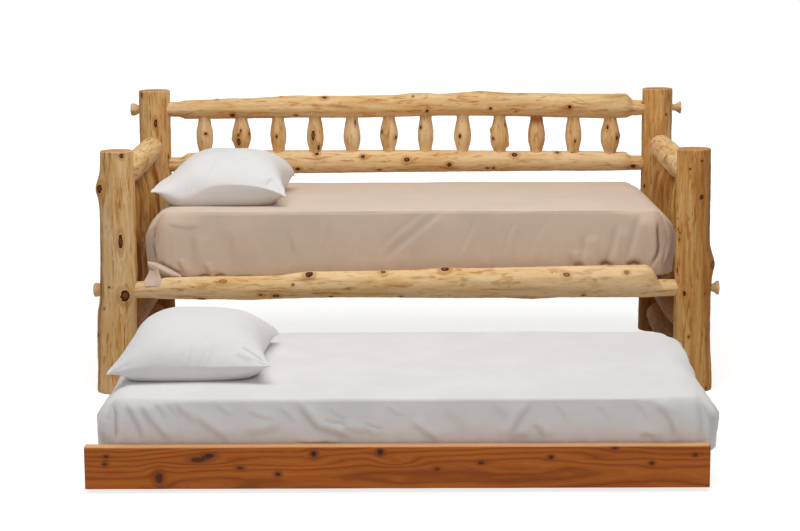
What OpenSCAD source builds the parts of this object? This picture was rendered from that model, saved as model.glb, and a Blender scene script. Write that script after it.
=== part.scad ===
// Trundle daybed made of peeled cedar logs, with the trundle pulled out in front.
// Left and right are as seen from the front, +X is right, +Y is the back and +Z is up.
// The origin is on the floor, under the middle of the whole outline.

/* [Mattresses] */
// Length of the daybed mattress
mattress_l = 1905; // [1800:5:2100]
// Width of the daybed mattress
mattress_w = 970; // [880:5:1120]
// Height of the daybed mattress at its edge
mattress_h = 230; // [180:1:260]
// Shift of the daybed mattress to the right, towards the end spindles
mattress_shift = 14; // [-14:1:14]
// Room between a mattress end and the posts
mattress_end_gap = 3.5; // [2:0.5:30]
// Room between the mattress and the flats of the side rails
mattress_side_gap = 18; // [8:1:40]
// Rise of a mattress from its edge to its middle
mattress_crown = 6; // [4:1:30]
// How much higher the front edge of the daybed mattress is than the middle, where the sheet pulls it up
mattress_tilt = 10; // [0:1:15]
// Plan radius of the mattress corners
mattress_corner_r = 80; // [60:1:140]
// Rounding of the mattress's upper edge
mattress_edge_r = 16; // [10:1:60]
// Rounding of the mattress's upper edge at its two ends, at most 0.4 of its height
mattress_end_r = 92; // [30:1:110]
// How much a long mattress side draws in between its corners
mattress_draw = 7; // [0:1:15]

/* [Pillows] */
// Length of a pillow, across the bed
pillow_l = 610; // [500:5:700]
// Width of a pillow, along the bed
pillow_w = 495; // [400:5:560]
// Height of the daybed pillow above the mattress
pillow_h = 190; // [110:1:210]
// Height of the trundle pillow above its mattress
trundle_pillow_h = 176; // [110:1:185]
// Height of the daybed pillow's seam above the mattress, half way along a side
pillow_seam_h = 92; // [40:1:100]
// Height of the trundle pillow's seam above its mattress, half way along a side
trundle_pillow_seam_h = 60; // [40:1:80]
// Drop of a pillow's corner tips below the middle of its seams, as a share of the seam's height
pillow_tip_drop = 0.3; // [0:0.05:0.4]
// Share by which the pillow sides draw in between the corners
pillow_draw = 0.075; // [0:0.005:0.12]
// Distance from the left end of a mattress to the middle of its pillow
pillow_end_gap = 262; // [250:1:700]
// Distance of the daybed pillow in front of the middle of its mattress
pillow_forward = 70; // [-100:1:140]
// Turn of the daybed pillow, seen from above
pillow_turn = -2; // [-15:0.5:15]

/* [Posts] */
// Thickness of a post at mid height
post_d = 128; // [120:1:150]
// Softening of the rim of a sawn post top
post_rim = 8; // [3:1:12]
// Height of the front posts above the arm rails
post_above_arm = 98; // [80:1:140]
// Height of the rear posts above the back top rail
post_above_back = 77; // [60:1:120]

/* [Rails] */
// Thickness of the round tenons on the rails
tenon_d = 60; // [50:1:64]
// Thickness of the side rails at the left end
side_rail_thin_d = 78; // [74:1:100]
// Thickness of the side rails at the right end
side_rail_thick_d = 118; // [100:1:130]
// Distance of the planed flats on the side rails from the post line
rail_flat = 32; // [31:0.5:35]
// Bare tenon between the front rail's left shoulder, on its upper side, and the post line
left_bare = 123; // [115:1:140]
// Bare tenon between the front rail's right shoulder, on its upper side, and the post line
right_bare = 124; // [115:1:140]
// How much nearer to the posts the side rails' shoulders reach on the underside
shoulder_reach = 48; // [0:1:50]
// Thickness of the back top rail
back_top_d = 90; // [80:1:104]
// Thickness of the back lower rail
back_lower_d = 90; // [80:1:104]
// Distance between the two back rails
back_rail_spacing = 225; // [210:1:260]
// Height of the back lower rail above the edge of the mattress
back_rail_lift = 60; // [56:1:90]
// Height of the arm rails above the back lower rail
arm_rise = 78; // [72:1:110]
// Thickness of the arm rails
arm_rail_d = 98; // [86:1:110]
// Drop from the side rail tenons to the mid rails
mid_rail_drop = 138; // [125:1:145]
// Thickness of the mid rails at the ends of the bed
mid_rail_d = 108; // [96:1:114]
// Drop from the mid rails to the bottom rails
bottom_rail_drop = 142; // [130:1:144]
// Thickness of the bottom rails
bottom_rail_d = 98; // [90:1:108]
// Thickness of the tenons on the end panels' rails
end_tenon_d = 50; // [40:1:56]

/* [Spindles] */
// Number of spindles in the back
back_spindles = 12; // [6:1:12]
// Distance from a rear post's face to the nearest back spindle's axis
back_end_gap = 132.5; // [110:0.5:160]
// Thickness of a back spindle where it enters the rails
back_neck_d = 50; // [40:1:54]
// Number of spindles at each end
arm_spindles = 5; // [3:1:5]
// Distance from a post's face to the nearest end spindle's axis
arm_end_gap = 107; // [80:1:140]
// Thickness of an end spindle's tenons
arm_neck_d = 42; // [32:1:46]
// Thickness of an end spindle's body
arm_belly_d = 76; // [60:1:84]
// Length of the shoulders of an end spindle
arm_shoulder = 70; // [40:1:90]
// Depth of a spindle tenon past the surface of its rail
spindle_seat = 30; // [20:1:34]

/* [Mattress support] */
// Height of the slats that carry the mattress
slat_t = 19; // [15:1:25]
// Width of a slat
slat_w = 90; // [60:1:110]
// Number of slats under the daybed mattress
slats = 12; // [8:1:14]
// Height of the cleats on the side rails
cleat_h = 38; // [30:1:45]
// Depth of a cleat
cleat_t = 38; // [30:1:50]
// Height of the cleats above the rails' underside
cleat_lift = 10; // [4:1:14]

/* [Bolts and knobs] */
// Thickness of the bolts that hold the rails
bolt_d = 10; // [8:1:12]
// Length of a bolt under its head
bolt_l = 150; // [120:5:180]
// Width of a bolt head across its flats
bolt_head_w = 15; // [13:1:17]
// Height of a bolt head
bolt_head_h = 6; // [5:0.5:8]
// Counterbore that hides a bolt head
counterbore_d = 23; // [21:1:26]
// Distance of the counterbore's floor from the post line
counterbore_floor = 44; // [38:1:46]
// Distance of a knob's outer end from the post line
knob_reach = 95; // [90:1:105]
// Greatest thickness of a knob
knob_d = 52; // [36:1:54]

/* [Trundle] */
// How far the trundle is pulled out
trundle_pull = 1257; // [1180:1:1400]
// Gap between the trundle board's ends and the posts
trundle_end_gap = 37; // [30:1:60]
// Sideways place of the trundle in its bay
trundle_shift = -27; // [-30:1:30]
// Height of the front board
board_h = 128; // [115:1:150]
// Thickness of the front board
board_t = 38; // [25:1:45]
// Gap between the front board and the floor
board_floor_gap = 12; // [8:1:20]
// Rounding of the front board's edges
board_ease = 4; // [1:0.5:6]
// Depth of the trundle box behind the front board
trundle_depth = 990; // [900:5:1100]
// Thickness of the side and rear boards
side_t = 25; // [18:1:32]
// Distance of the side boards from the ends of the front board
side_inset = 12; // [4:1:30]
// Height of the side and rear boards
side_h = 68; // [55:1:78]
// Height of the cleats and the beam under the trundle slats
trundle_cleat_h = 31; // [24:1:34]
// Depth of the cleats and of the beam
trundle_cleat_t = 32; // [25:1:45]
// Number of trundle slats
trundle_slat_count = 12; // [8:1:14]
// Height of the trundle mattress at its edge
trundle_mattress_h = 172; // [140:1:190]
// How much longer the trundle mattress is than the front board
trundle_overhang = 12; // [0:1:16]
// Sideways place of the trundle mattress on its box
trundle_mattress_shift = 30; // [0:1:34]
// Free height between the trundle mattress and the side rails
head_room = 55; // [40:1:90]

/* [Casters] */
// Diameter of a caster wheel
wheel_d = 50; // [40:1:56]
// Width of a caster wheel
wheel_w = 20; // [16:1:26]
// Thickness of a caster axle
axle_d = 8; // [6:1:10]
// Height of a caster from the floor to its plate's top
caster_h = 62; // [58:1:66]
// Thickness of a caster's sheet metal
fork_t = 2.5; // [2:0.1:4]
// Width of the blocks that the casters hang from
block_w = 80; // [66:1:110]

/* [Fits] */
// Gap between a tenon and the wall of its socket
fit = 0.2; // [0.1:0.05:0.4]
// Gap between soft pieces and what they lie on
soft_gap = 0.5; // [0.3:0.1:1]
// Gap round an axle in its wheel
axle_gap = 0.1; // [0.05:0.05:0.15]

/* [Hidden] */
$fn = 48;

// Heights, built up from the floor
trundle_slat_z = caster_h + slat_t;
trundle_top_z = trundle_slat_z + slat_t;
trundle_edge_z = trundle_top_z + trundle_mattress_h;
rail_under_z = trundle_edge_z + mattress_crown + head_room;
tenon_lift = 5;
side_rail_z = rail_under_z + tenon_lift + tenon_d / 2;
cleat_z = rail_under_z + cleat_lift;
slat_z = cleat_z + cleat_h;
mattress_z = slat_z + slat_t;
mattress_edge_z = mattress_z + mattress_h;
back_lower_z = mattress_edge_z + back_rail_lift;
back_top_z = back_lower_z + back_rail_spacing;
arm_z = back_lower_z + arm_rise;
mid_rail_z = side_rail_z - mid_rail_drop;
bottom_rail_z = mid_rail_z - bottom_rail_drop;
front_post_h = arm_z + post_above_arm;
rear_post_h = back_top_z + post_above_back;

// Plan
post_x = mattress_l / 2 + mattress_end_gap + post_d / 2;
post_y = mattress_w / 2 + mattress_side_gap + rail_flat;
flat_y = post_y - rail_flat;
board_l = 2 * post_x - post_d - 2 * trundle_end_gap;
board_front_y = -post_y - post_d / 2 - trundle_pull;
board_back_y = board_front_y + board_t;
box_back_y = board_back_y + trundle_depth;
box_half_x = board_l / 2 - side_inset;
cleat_front_y = board_back_y + trundle_cleat_t;
cleat_back_y = box_back_y - side_t - trundle_cleat_t;

// Tenons reach past the post line, and posts, rails and spindles share these values
tenon_past = 20;
socket_d = tenon_d + 2 * fit;
end_socket_d = end_tenon_d + 2 * fit;
spindle_mid = 6;
back_pitch = (2 * post_x - post_d - 2 * back_end_gap) / (back_spindles - 1);
arm_pitch = (2 * post_y - post_d - 2 * arm_end_gap) / (arm_spindles - 1);
log_sides = 16;
bite = 3;

// Natural form of each log. A wander row is [place from 0 to 1, rise, side, swell of the radius].
// A knot row is [place, angle round the log, height, spread].
front_left_wander = [
    [0, -19, 0, 10], [0.17, -17, 2, 8], [0.3, -15, 3, 7], [0.38, -9, 3, 4], [0.5, -5, 2, 3],
    [0.65, -3, 1, 2], [0.82, -3, 0, 1], [0.91, -1, 0, -3], [1, 0, 0, -6]];
front_left_knots = [[0.86, 202, 13, 24], [0.65, 270, 5, 20], [0.35, 265, 6, 22], [0.27, 185, 6, 24],
    [0.93, 300, 4, 24]];
front_right_wander = [
    [0, 6, 0, 6], [0.1, 5, 2, 5], [0.2, 2, 3, 2], [0.4, 1, 2, 2], [0.6, -3, 1, -1], [0.8, -3, 0, -2],
    [1, -3, 0, -4]];
front_right_knots = [[0.495, 352, 12, 34], [0.92, 285, 4, 18], [0.79, 300, 4, 16], [0.24, 290, 4, 20]];
rear_left_wander = [[0, -3, 3, 5], [0.15, -2, 2, 3], [0.4, 1, -1, 1], [0.7, 1, 0, 1], [1, 2, 0, -1]];
rear_left_knots = [[0.86, 290, 5, 20], [0.77, 250, 4, 20], [0.3, 200, 6, 26]];
rear_right_wander = [[0, 4, 2, 5], [0.2, 2, 1, 2], [0.5, -2, -1, 0], [0.8, -2, 0, -1], [1, -2, 0, -2]];
rear_right_knots = [[0.72, 245, 4, 20], [0.4, 320, 6, 26]];
// The underside of a side rail is straight, so its middle rises with its thickness
side_rail_lean = [side_rail_thin_d / 2 - tenon_d / 2 - tenon_lift,
    side_rail_thick_d / 2 - tenon_d / 2 - tenon_lift];
front_rail_wander = [
    [0, side_rail_lean[0], 0, -1], [0.1, side_rail_lean[0] + 1, 1, 0], [0.24, side_rail_lean[0] + 2, 2, -2],
    [0.34, side_rail_lean[0] + 11, 1, 1], [0.45, side_rail_lean[0] + 13, -1, 1],
    [0.6, side_rail_lean[0] + 15, -2, 3], [0.8, side_rail_lean[1] - 1, -1, 2], [1, side_rail_lean[1], 0, 0]];
front_rail_knots = [[0.172, 5, 11, 34], [0.203, 265, 3, 20], [0.314, 182, 9, 34], [0.426, 260, 3, 20],
    [0.578, 186, 7, 32], [0.75, 5, 6, 40], [0.79, 285, 3, 16], [0.912, 280, 3, 16]];
rear_rail_wander = [
    [0, side_rail_lean[0], 0, 3], [0.25, side_rail_lean[0] + 5, -1, 5], [0.5, side_rail_lean[0] + 12, 0, 2],
    [0.75, side_rail_lean[1] - 4, 1, -1], [1, side_rail_lean[1], 0, -2]];
rear_rail_knots = [[0.3, 90, 5, 26], [0.62, 80, 5, 30], [0.85, 170, 4, 24]];
back_top_wander = [
    [0, -1, 0, -8], [0.06, -1, 0, -6], [0.16, 3, 2, -3], [0.27, 8, 0, 0], [0.4, 8, -2, 1],
    [0.55, 14, 0, 1], [0.64, 18, 2, 5], [0.74, 14, 0, 4], [0.86, 8, -1, 5], [0.94, 8, 0, 5], [1, 7, 0, 4]];
back_top_knots = [[0.12, 265, 3, 18], [0.115, 185, 4, 24], [0.265, 185, 6, 26], [0.31, 265, 3, 16],
    [0.525, 180, 8, 22], [0.55, 270, 3, 18], [0.66, 182, 5, 32], [0.7, 270, 3, 16], [0.8, 178, 7, 24],
    [0.46, 5, 4, 30], [0.93, 0, 4, 34]];
back_lower_wander = [
    [0, 0, 0, -2], [0.12, 7, 0, 4], [0.3, 9, 1, 3], [0.5, 11, 0, 2], [0.7, 10, -1, -1], [0.85, 9, 0, -3],
    [1, 5, 0, -6]];
back_lower_knots = [[0.34, 270, 3, 16], [0.5, 265, 4, 18], [0.59, 262, 3, 18], [0.7, 275, 3, 18],
    [0.83, 262, 3, 16], [0.51, 180, 4, 28], [0.93, 265, 3, 18]];
left_arm_wander = [[0, 8, 0, 3], [0.2, 6, -3, 2], [0.5, 0, -2, -1], [0.8, -3, 2, -2], [1, 0, 0, -3]];
left_arm_knots = [[0.15, 200, 8, 34], [0.5, 292, 12, 28], [0.45, 270, 5, 26], [0.7, 190, 5, 26]];
right_arm_wander = [[0, 1, 0, 2], [0.25, 3, 2, 0], [0.5, -1, 3, 1], [0.8, 0, -2, -2], [1, 2, 0, -3]];
right_arm_knots = [[0.2, 100, 6, 30], [0.52, 175, 6, 28], [0.75, 90, 4, 26]];
left_mid_wander = [[0, 0, 0, -2], [0.3, 3, -2, 1], [0.6, -2, 1, 0], [1, 0, 0, -4]];
right_mid_wander = [[0, 0, 0, -4], [0.35, -2, 2, 0], [0.7, 2, 2, 1], [1, 0, 0, -2]];
left_bottom_wander = [[0, 0, 0, -3], [0.3, -2, -3, 0], [0.7, 2, -2, 1], [1, 0, 0, -2]];
right_bottom_wander = [[0, 0, 0, -2], [0.4, 2, 3, 1], [0.75, -2, 2, 0], [1, 0, 0, -4]];
low_knots = [[0.3, 60, 5, 26], [0.62, 110, 4, 24], [0.78, 95, 5, 28]];

// Thickness of each back spindle's belly, and the share of its height at which it is thickest
back_bellies = [[69, 0.46], [77, 0.47], [66, 0.5], [69, 0.42], [71, 0.4], [74, 0.5], [66, 0.46],
    [71, 0.45], [76, 0.38], [71, 0.44], [67, 0.48], [78, 0.42]];
// Knots that stand out of the back spindles, as [spindle, angle, share of the height, how far they stand out]
back_spindle_knots = [[2, 180, 0.45, 4], [6, 250, 0.55, 3], [8, 200, 0.5, 3], [9, 0, 0.32, 4],
    [9, 180, 0.62, 4], [12, 0, 0.5, 4], [12, 210, 0.42, 3]];
// Change of an end spindle's thickness from one to the next
arm_bellies = [3, -4, 2, 5, -2];

// Smooth curve through rows of [place, ...], read in column c
function row_before(rows, t, i = 0) =
    i >= len(rows) - 2 || t <= rows[i + 1][0] ? i : row_before(rows, t, i + 1);
function slope(rows, i, c) =
    let (a = rows[max(i - 1, 0)], b = rows[min(i + 1, len(rows) - 1)])
    (b[c] - a[c]) / (b[0] - a[0]);
function curve(rows, t, c) =
    let (i = row_before(rows, t), a = rows[i], b = rows[i + 1], w = b[0] - a[0], u = (t - a[0]) / w)
    a[c] * (1 + 2 * u) * (1 - u) * (1 - u) + w * slope(rows, i, c) * u * (1 - u) * (1 - u)
    + b[c] * u * u * (3 - 2 * u) + w * slope(rows, i + 1, c) * u * u * (u - 1);
function mix(a, b, u) = a + (b - a) * u;

// Closed skin over rings of equally many points, with a fan of triangles at each end
function middle(ring) = [for (k = [0:2]) sum_of([for (p = ring) p[k]]) / len(ring)];
function sum_of(values, i = 0) = i >= len(values) ? 0 : values[i] + sum_of(values, i + 1);
function skin_faces(n, rings) = concat(
    [for (i = [0:rings - 2], j = [0:n - 1]) [i * n + j, (i + 1) * n + j, (i + 1) * n + (j + 1) % n]],
    [for (i = [0:rings - 2], j = [0:n - 1]) [i * n + j, (i + 1) * n + (j + 1) % n, i * n + (j + 1) % n]],
    [for (j = [0:n - 1]) [rings * n, j, (j + 1) % n]],
    [for (j = [0:n - 1]) [rings * n + 1, (rings - 1) * n + (j + 1) % n, (rings - 1) * n + j]]);
module skin(rings) {
    points = [for (ring = rings, p = ring) p];
    ends = [middle(rings[0]), middle(rings[len(rings) - 1])];
    polyhedron(concat(points, ends), skin_faces(len(rings[0]), len(rings)), convexity = 6);
}

// One ring of a log. It is slightly out of round, and knots stand out of it.
function turn(a) = a > 180 ? turn(a - 360) : a < -180 ? turn(a + 360) : a;
function knot_rise(knots, t, a, r, l) = sum_of([
    for (k = knots)
        let (along = (t - k[0]) * l / k[3], round = turn(a - k[1]) * PI / 180 * r / k[3])
        k[2] * exp(-along * along - round * round)]);
function log_ring(s, t, x, y, r, l, knots, rough = 1, reach = 0) = [
    for (j = [0:log_sides - 1])
        let (
            a = 360 * j / log_sides,
            oval = rough * (0.016 * cos(2 * a + 300 * t) + 0.009 * cos(3 * a - 500 * t)),
            rr = r * (1 + oval) + rough * knot_rise(knots, t, a, r, l))
        [x + rr * cos(a), y + rr * sin(a), s + reach * (1 + cos(a)) / 2]];

// Rings of a rail's body, whose ends draw in to the tenons over their shoulders
function rail_rings(from, to, d0, d1, wander, knots, sh, steps) =
    let (
        l = to - from,
        stations = concat(
            [for (u = [0, 0.25, 0.6]) from + u * sh],
            [for (i = [0:steps]) from + sh + i * (l - 2 * sh) / steps],
            [for (u = [0.6, 0.25, 0]) to - u * sh]))
    [for (s = stations)
        let (
            t = (s - from) / l,
            k = min(1, (s - from) / sh, (to - s) / sh),
            body = pow(sin(90 * k), 0.8),
            r = mix(d0, d1, t) / 2 + curve(wander, t, 3))
        [-curve(wander, t, 1) * body, curve(wander, t, 2) * body, r, body, s, t, l]];
module rail_body(from, to, d0, d1, wander, knots, sh, neck_d, steps, reach) {
    skin([for (q = rail_rings(from, to, d0, d1, wander, knots, sh, steps))
        let (out = (q[5] < 0.5 ? -reach : reach) * (1 - q[3]))
        log_ring(q[4], q[5], q[0], q[1], mix(neck_d / 2 - bite, q[2], q[3]), q[6], knots, q[3], out)]);
}

// A log rail along Z: the body between its shoulders, and a round tenon at each end. The shoulders come
// nearer to the ends by reach on the side where a ring starts.
module log_rail(half, bare0, bare1, d0, d1, wander, knots, sh, neck_d, steps, reach = 0) {
    tenon_l = tenon_past + max(bare0, bare1) + 0.6 * sh;
    rail_body(-half + bare0, half - bare1, d0, d1, wander, knots, sh, neck_d, steps, reach);
    for (end = [-1, 1])
        translate([0, 0, end > 0 ? half + tenon_past - tenon_l : -half - tenon_past])
            cylinder(d = neck_d, h = tenon_l);
}

// Stand the part in its place, and lay a log along X or along Y
module placed() {
    translate([0, shift_y, 0]) children();
}
module along_x(y, z) {
    translate([0, y, z]) rotate([0, 90, 0]) children();
}
module along_y(x, z) {
    translate([x, 0, z]) rotate([0, 90, 90]) children();
}

// Rings of a post, flat at its foot and softened at its sawn top
function post_rings(h, d, wander, knots) =
    let (stations = concat([0, 5], [for (i = [1:13]) i * (h - post_rim) / 13], [h - 0.3 * post_rim, h]))
    [for (s = stations)
        let (
            t = s / h,
            rim = max(0, s - h + post_rim),
            foot = s == 0 ? 3 : 0,
            r = d / 2 + curve(wander, t, 3) - rim * rim / post_rim - foot)
        log_ring(s, t, curve(wander, t, 1), curve(wander, t, 2), r, h, knots)];
rear_left_rings = post_rings(rear_post_h, post_d, rear_left_wander, rear_left_knots);
rear_right_rings = post_rings(rear_post_h, post_d, rear_right_wander, rear_right_knots);
rear_reach = max([for (ring = concat(rear_left_rings, rear_right_rings), p = ring) p.y]);
shift_y = -(board_front_y + post_y + rear_reach) / 2;

// Sockets of a post, along the way out of its sockets: x_way for the side and back rails,
// y_way for the end rails. Bolted rails have a bolt hole and a counterbore through the far side.
module socket(way, z, d) {
    translate([0, 0, z]) rotate(way) translate([0, 0, -tenon_past]) cylinder(d = d, h = 2 * post_d);
}
module bolt_hole(x_way, z) {
    translate([0, 0, z]) rotate([0, -90 * x_way, 0]) {
        cylinder(d = bolt_d + 2 * fit, h = 2 * post_d);
        translate([0, 0, counterbore_floor]) cylinder(d = counterbore_d, h = 2 * post_d);
    }
}
module post(x_way, y_way, rings, x_sockets, bolts) {
    translate([-x_way * post_x, -y_way * post_y, 0])
        difference() {
            skin(rings);
            for (z = x_sockets)
                socket([0, 90 * x_way, 0], z, socket_d);
            for (z = [arm_z, mid_rail_z, bottom_rail_z])
                socket([-90 * y_way, 0, 0], z, end_socket_d);
            for (z = bolts)
                bolt_hole(x_way, z);
        }
}
module front_left_post() {
    color("BurlyWood") placed()
        post(1, 1, post_rings(front_post_h, post_d, front_left_wander, front_left_knots),
            [side_rail_z], [side_rail_z]);
}
module front_right_post() {
    color("BurlyWood") placed()
        post(-1, 1, post_rings(front_post_h, post_d, front_right_wander, front_right_knots),
            [side_rail_z], [side_rail_z]);
}
module rear_left_post() {
    color("BurlyWood") placed()
        post(1, -1, rear_left_rings, [side_rail_z, back_lower_z, back_top_z], [side_rail_z, back_top_z]);
}
module rear_right_post() {
    color("BurlyWood") placed()
        post(-1, -1, rear_right_rings, [side_rail_z, back_lower_z, back_top_z], [side_rail_z, back_top_z]);
}

// Pilot holes for the bolts in both ends of a rail that lies along Z
module pilots() {
    for (end = [-1, 1])
        translate([0, 0, end * (post_x + tenon_past)]) rotate([end > 0 ? 180 : 0, 0, 0])
            cylinder(d = bolt_d + 2 * fit, h = bolt_l);
}

// Side rails, planed flat on the inside for their cleats. way is 1 for the front rail.
module side_rail(way, wander, knots, d0, d1, bare0, bare1) {
    difference() {
        along_x(-way * post_y, side_rail_z)
            difference() {
                log_rail(post_x, bare0, bare1, d0, d1, wander, knots, 40, tenon_d, 17, shoulder_reach);
                pilots();
            }
        translate([-post_x, way > 0 ? -flat_y : flat_y - post_d, side_rail_z - post_d])
            cube([2 * post_x, post_d, 2 * post_d]);
    }
}
module front_rail() {
    color("Wheat") placed()
        side_rail(1, front_rail_wander, front_rail_knots, side_rail_thin_d, side_rail_thick_d,
            left_bare, right_bare);
}
module rear_rail() {
    color("Wheat") placed()
        side_rail(-1, rear_rail_wander, rear_rail_knots, side_rail_thin_d, side_rail_thick_d,
            right_bare, left_bare);
}

// Back panel: two rails with spindles let into them
function back_spindle_x(i) = spindle_mid + (i - (back_spindles + 1) / 2) * back_pitch;
module back_sockets(z, way) {
    for (i = [1:back_spindles])
        translate([back_spindle_x(i), post_y, z]) rotate([way > 0 ? 0 : 180, 0, 0])
            cylinder(d = back_neck_d + 2 * fit, h = post_d);
}
back_seat_top = back_top_z - back_top_d / 2 + spindle_seat;
back_seat_bottom = back_lower_z + back_lower_d / 2 - spindle_seat;
lower_bare = [66, 62];
// How far the lower rail rises round the foot of a spindle
function foot_rise(i) =
    let (t = (back_spindle_x(i) + post_x - lower_bare[0]) / (2 * post_x - lower_bare[0] - lower_bare[1]))
    curve(back_lower_wander, t, 1) + curve(back_lower_wander, t, 3) + 3;
module back_top_rail() {
    color("BurlyWood") placed()
        difference() {
            along_x(post_y, back_top_z)
                difference() {
                    log_rail(post_x, 68, 60, back_top_d, back_top_d, back_top_wander, back_top_knots,
                        60, tenon_d, 21);
                    pilots();
                }
            back_sockets(back_seat_top + fit, -1);
        }
}
module back_lower_rail() {
    color("BurlyWood") placed()
        difference() {
            along_x(post_y, back_lower_z)
                log_rail(post_x, lower_bare[0], lower_bare[1], back_lower_d, back_lower_d,
                    back_lower_wander, back_lower_knots, 70, tenon_d, 17);
            back_sockets(back_seat_bottom - fit, 1);
        }
}

// A spindle is a peeled branch with a swelling between two round necks
module back_spindle(i) {
    h = back_seat_top - back_seat_bottom;
    foot = spindle_seat + foot_rise(i);
    free = h - spindle_seat - foot;
    belly = max(back_bellies[i - 1][0] - back_neck_d, 6) / 2;
    bend = ln(0.5) / ln(back_bellies[i - 1][1]);
    steps = 16;
    neck_r = back_neck_d / 2;
    tip = 2;
    swell = [for (k = [0:steps])
        [neck_r + belly * pow(sin(180 * pow(k / steps, bend)), 1.15), foot + free * k / steps]];
    color("BurlyWood") placed()
        translate([back_spindle_x(i), post_y, back_seat_bottom]) {
            rotate_extrude() polygon(concat([[0, 0], [neck_r - tip, 0], [neck_r, tip]], swell,
                [[neck_r, h - tip], [neck_r - tip, h], [0, h]]));
            for (k = back_spindle_knots)
                if (k[0] == i)
                    translate([0, 0, h * k[2]]) rotate([0, 0, k[1]])
                        translate([neck_r + belly - 12, 0, 0]) sphere(r = 12 + k[3]);
        }
}

// End panels: an arm rail, a mid rail and a bottom rail along Y, with spindles above the mid rail
arm_seat_top = arm_z - arm_rail_d / 2 + spindle_seat;
arm_seat_bottom = mid_rail_z + mid_rail_d / 2 - spindle_seat;
function arm_spindle_y(i) = (i - (arm_spindles + 1) / 2) * arm_pitch;
module arm_sockets(side, z, way) {
    for (i = [1:arm_spindles])
        translate([side * post_x, arm_spindle_y(i), z]) rotate([way > 0 ? 0 : 180, 0, 0])
            cylinder(d = arm_neck_d + 2 * fit, h = post_d);
}
module end_rail(side, z, d, wander, knots, bare, sh) {
    along_y(side * post_x, z)
        log_rail(post_y, bare, bare, d, d, wander, knots, sh, end_tenon_d, 11);
}
module arm_rail(side, wander, knots) {
    color("Wheat") placed()
        difference() {
            end_rail(side, arm_z, arm_rail_d, wander, knots, post_d / 2 + 3, 50);
            arm_sockets(side, arm_seat_top + fit, -1);
        }
}
module left_arm_rail() arm_rail(-1, left_arm_wander, left_arm_knots);
module right_arm_rail() arm_rail(1, right_arm_wander, right_arm_knots);
module mid_rail(side, wander) {
    color("Wheat") placed()
        difference() {
            end_rail(side, mid_rail_z, mid_rail_d, wander, low_knots, post_d / 2 + 10, 50);
            arm_sockets(side, arm_seat_bottom - fit, 1);
        }
}
module left_mid_rail() mid_rail(-1, left_mid_wander);
module right_mid_rail() mid_rail(1, right_mid_wander);
module bottom_rail(side, wander) {
    color("Wheat") placed()
        end_rail(side, bottom_rail_z, bottom_rail_d, wander, low_knots, post_d / 2 + 10, 45);
}
module left_bottom_rail() bottom_rail(-1, left_bottom_wander);
module right_bottom_rail() bottom_rail(1, right_bottom_wander);
module arm_spindle(side, i) {
    h = arm_seat_top - arm_seat_bottom;
    neck_r = arm_neck_d / 2;
    belly_r = (arm_belly_d + arm_bellies[i - 1]) / 2;
    start = spindle_seat + 12;
    steps = 6;
    body_l = h - 2 * start - 2 * arm_shoulder;
    foot = [for (k = [0:steps])
        [mix(neck_r, belly_r, sin(90 * k / steps)), start + arm_shoulder * k / steps]];
    body = [for (k = [1:steps - 1])
        [belly_r + 2.5 * sin(360 * k / steps + 70 * i), start + arm_shoulder + body_l * k / steps]];
    head = [for (p = [for (k = [steps:-1:0]) foot[k]]) [p[0], h - p[1]]];
    color("BurlyWood") placed()
        translate([side * post_x, arm_spindle_y(i), arm_seat_bottom])
            rotate_extrude() polygon(concat([[0, 0], [neck_r, 0]], foot, body, head, [[neck_r, h], [0, h]]));
}

// Bolts through the posts into the rails, and the turned knobs that cap them
module each_bolt() {
    for (side = [-1, 1], place = [[-post_y, side_rail_z], [post_y, side_rail_z], [post_y, back_top_z]])
        translate([side * post_x, place[0], place[1]]) rotate([0, 90 * side, 0]) children();
}
washer_h = 2;
module rail_bolts() {
    color("Gray") placed()
        each_bolt() {
            translate([0, 0, counterbore_floor - bolt_l]) cylinder(d = bolt_d, h = bolt_l);
            translate([0, 0, counterbore_floor]) cylinder(d = counterbore_d - 2, h = washer_h);
            translate([0, 0, counterbore_floor + washer_h])
                cylinder(d = bolt_head_w / cos(30), h = bolt_head_h, $fn = 6);
        }
}
module bolt_knobs() {
    stub = counterbore_floor + washer_h + bolt_head_h + 1;
    neck_r = counterbore_d / 2 - fit;
    neck = knob_reach - 19;
    color("Wheat") placed()
        each_bolt()
            rotate_extrude() polygon([
                [0, stub], [neck_r - 1, stub], [neck_r, stub + 1], [neck_r, neck - 1],
                [neck_r + 3, neck + 3], [knob_d * 0.4, neck + 9], [knob_d / 2 - 1, knob_reach - 6],
                [knob_d / 2, knob_reach - 4], [knob_d / 2 - 1.5, knob_reach - 1.5],
                [knob_d * 0.4, knob_reach], [0, knob_reach]]);
}

// A board along X with eased edges
module board(l, w, t, ease) {
    rotate([90, 0, 90]) linear_extrude(l)
        polygon([[ease, 0], [w - ease, 0], [w, ease], [w, t - ease], [w - ease, t], [ease, t],
            [0, t - ease], [0, ease]]);
}
// A row of flat boards along Y, spread evenly from -half to half
module slat_row(count, half, y, l, z) {
    for (i = [0:count - 1])
        translate([-half + slat_w + i * (2 * half - slat_w) / (count - 1), y, z])
            rotate([0, 0, 90]) board(l, slat_w, slat_t, 1.5);
}

// Mattress support of the daybed
cleat_half = post_x - left_bare - 45;
module front_cleat() {
    color("Peru") placed()
        translate([-cleat_half, -flat_y, cleat_z]) board(2 * cleat_half, cleat_t, cleat_h, 2);
}
module rear_cleat() {
    color("Peru") placed()
        translate([-cleat_half, flat_y - cleat_t, cleat_z]) board(2 * cleat_half, cleat_t, cleat_h, 2);
}
module mattress_slats() {
    color("Tan") placed()
        slat_row(slats, cleat_half, -flat_y + 2, 2 * flat_y - 4, slat_z);
}

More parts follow.
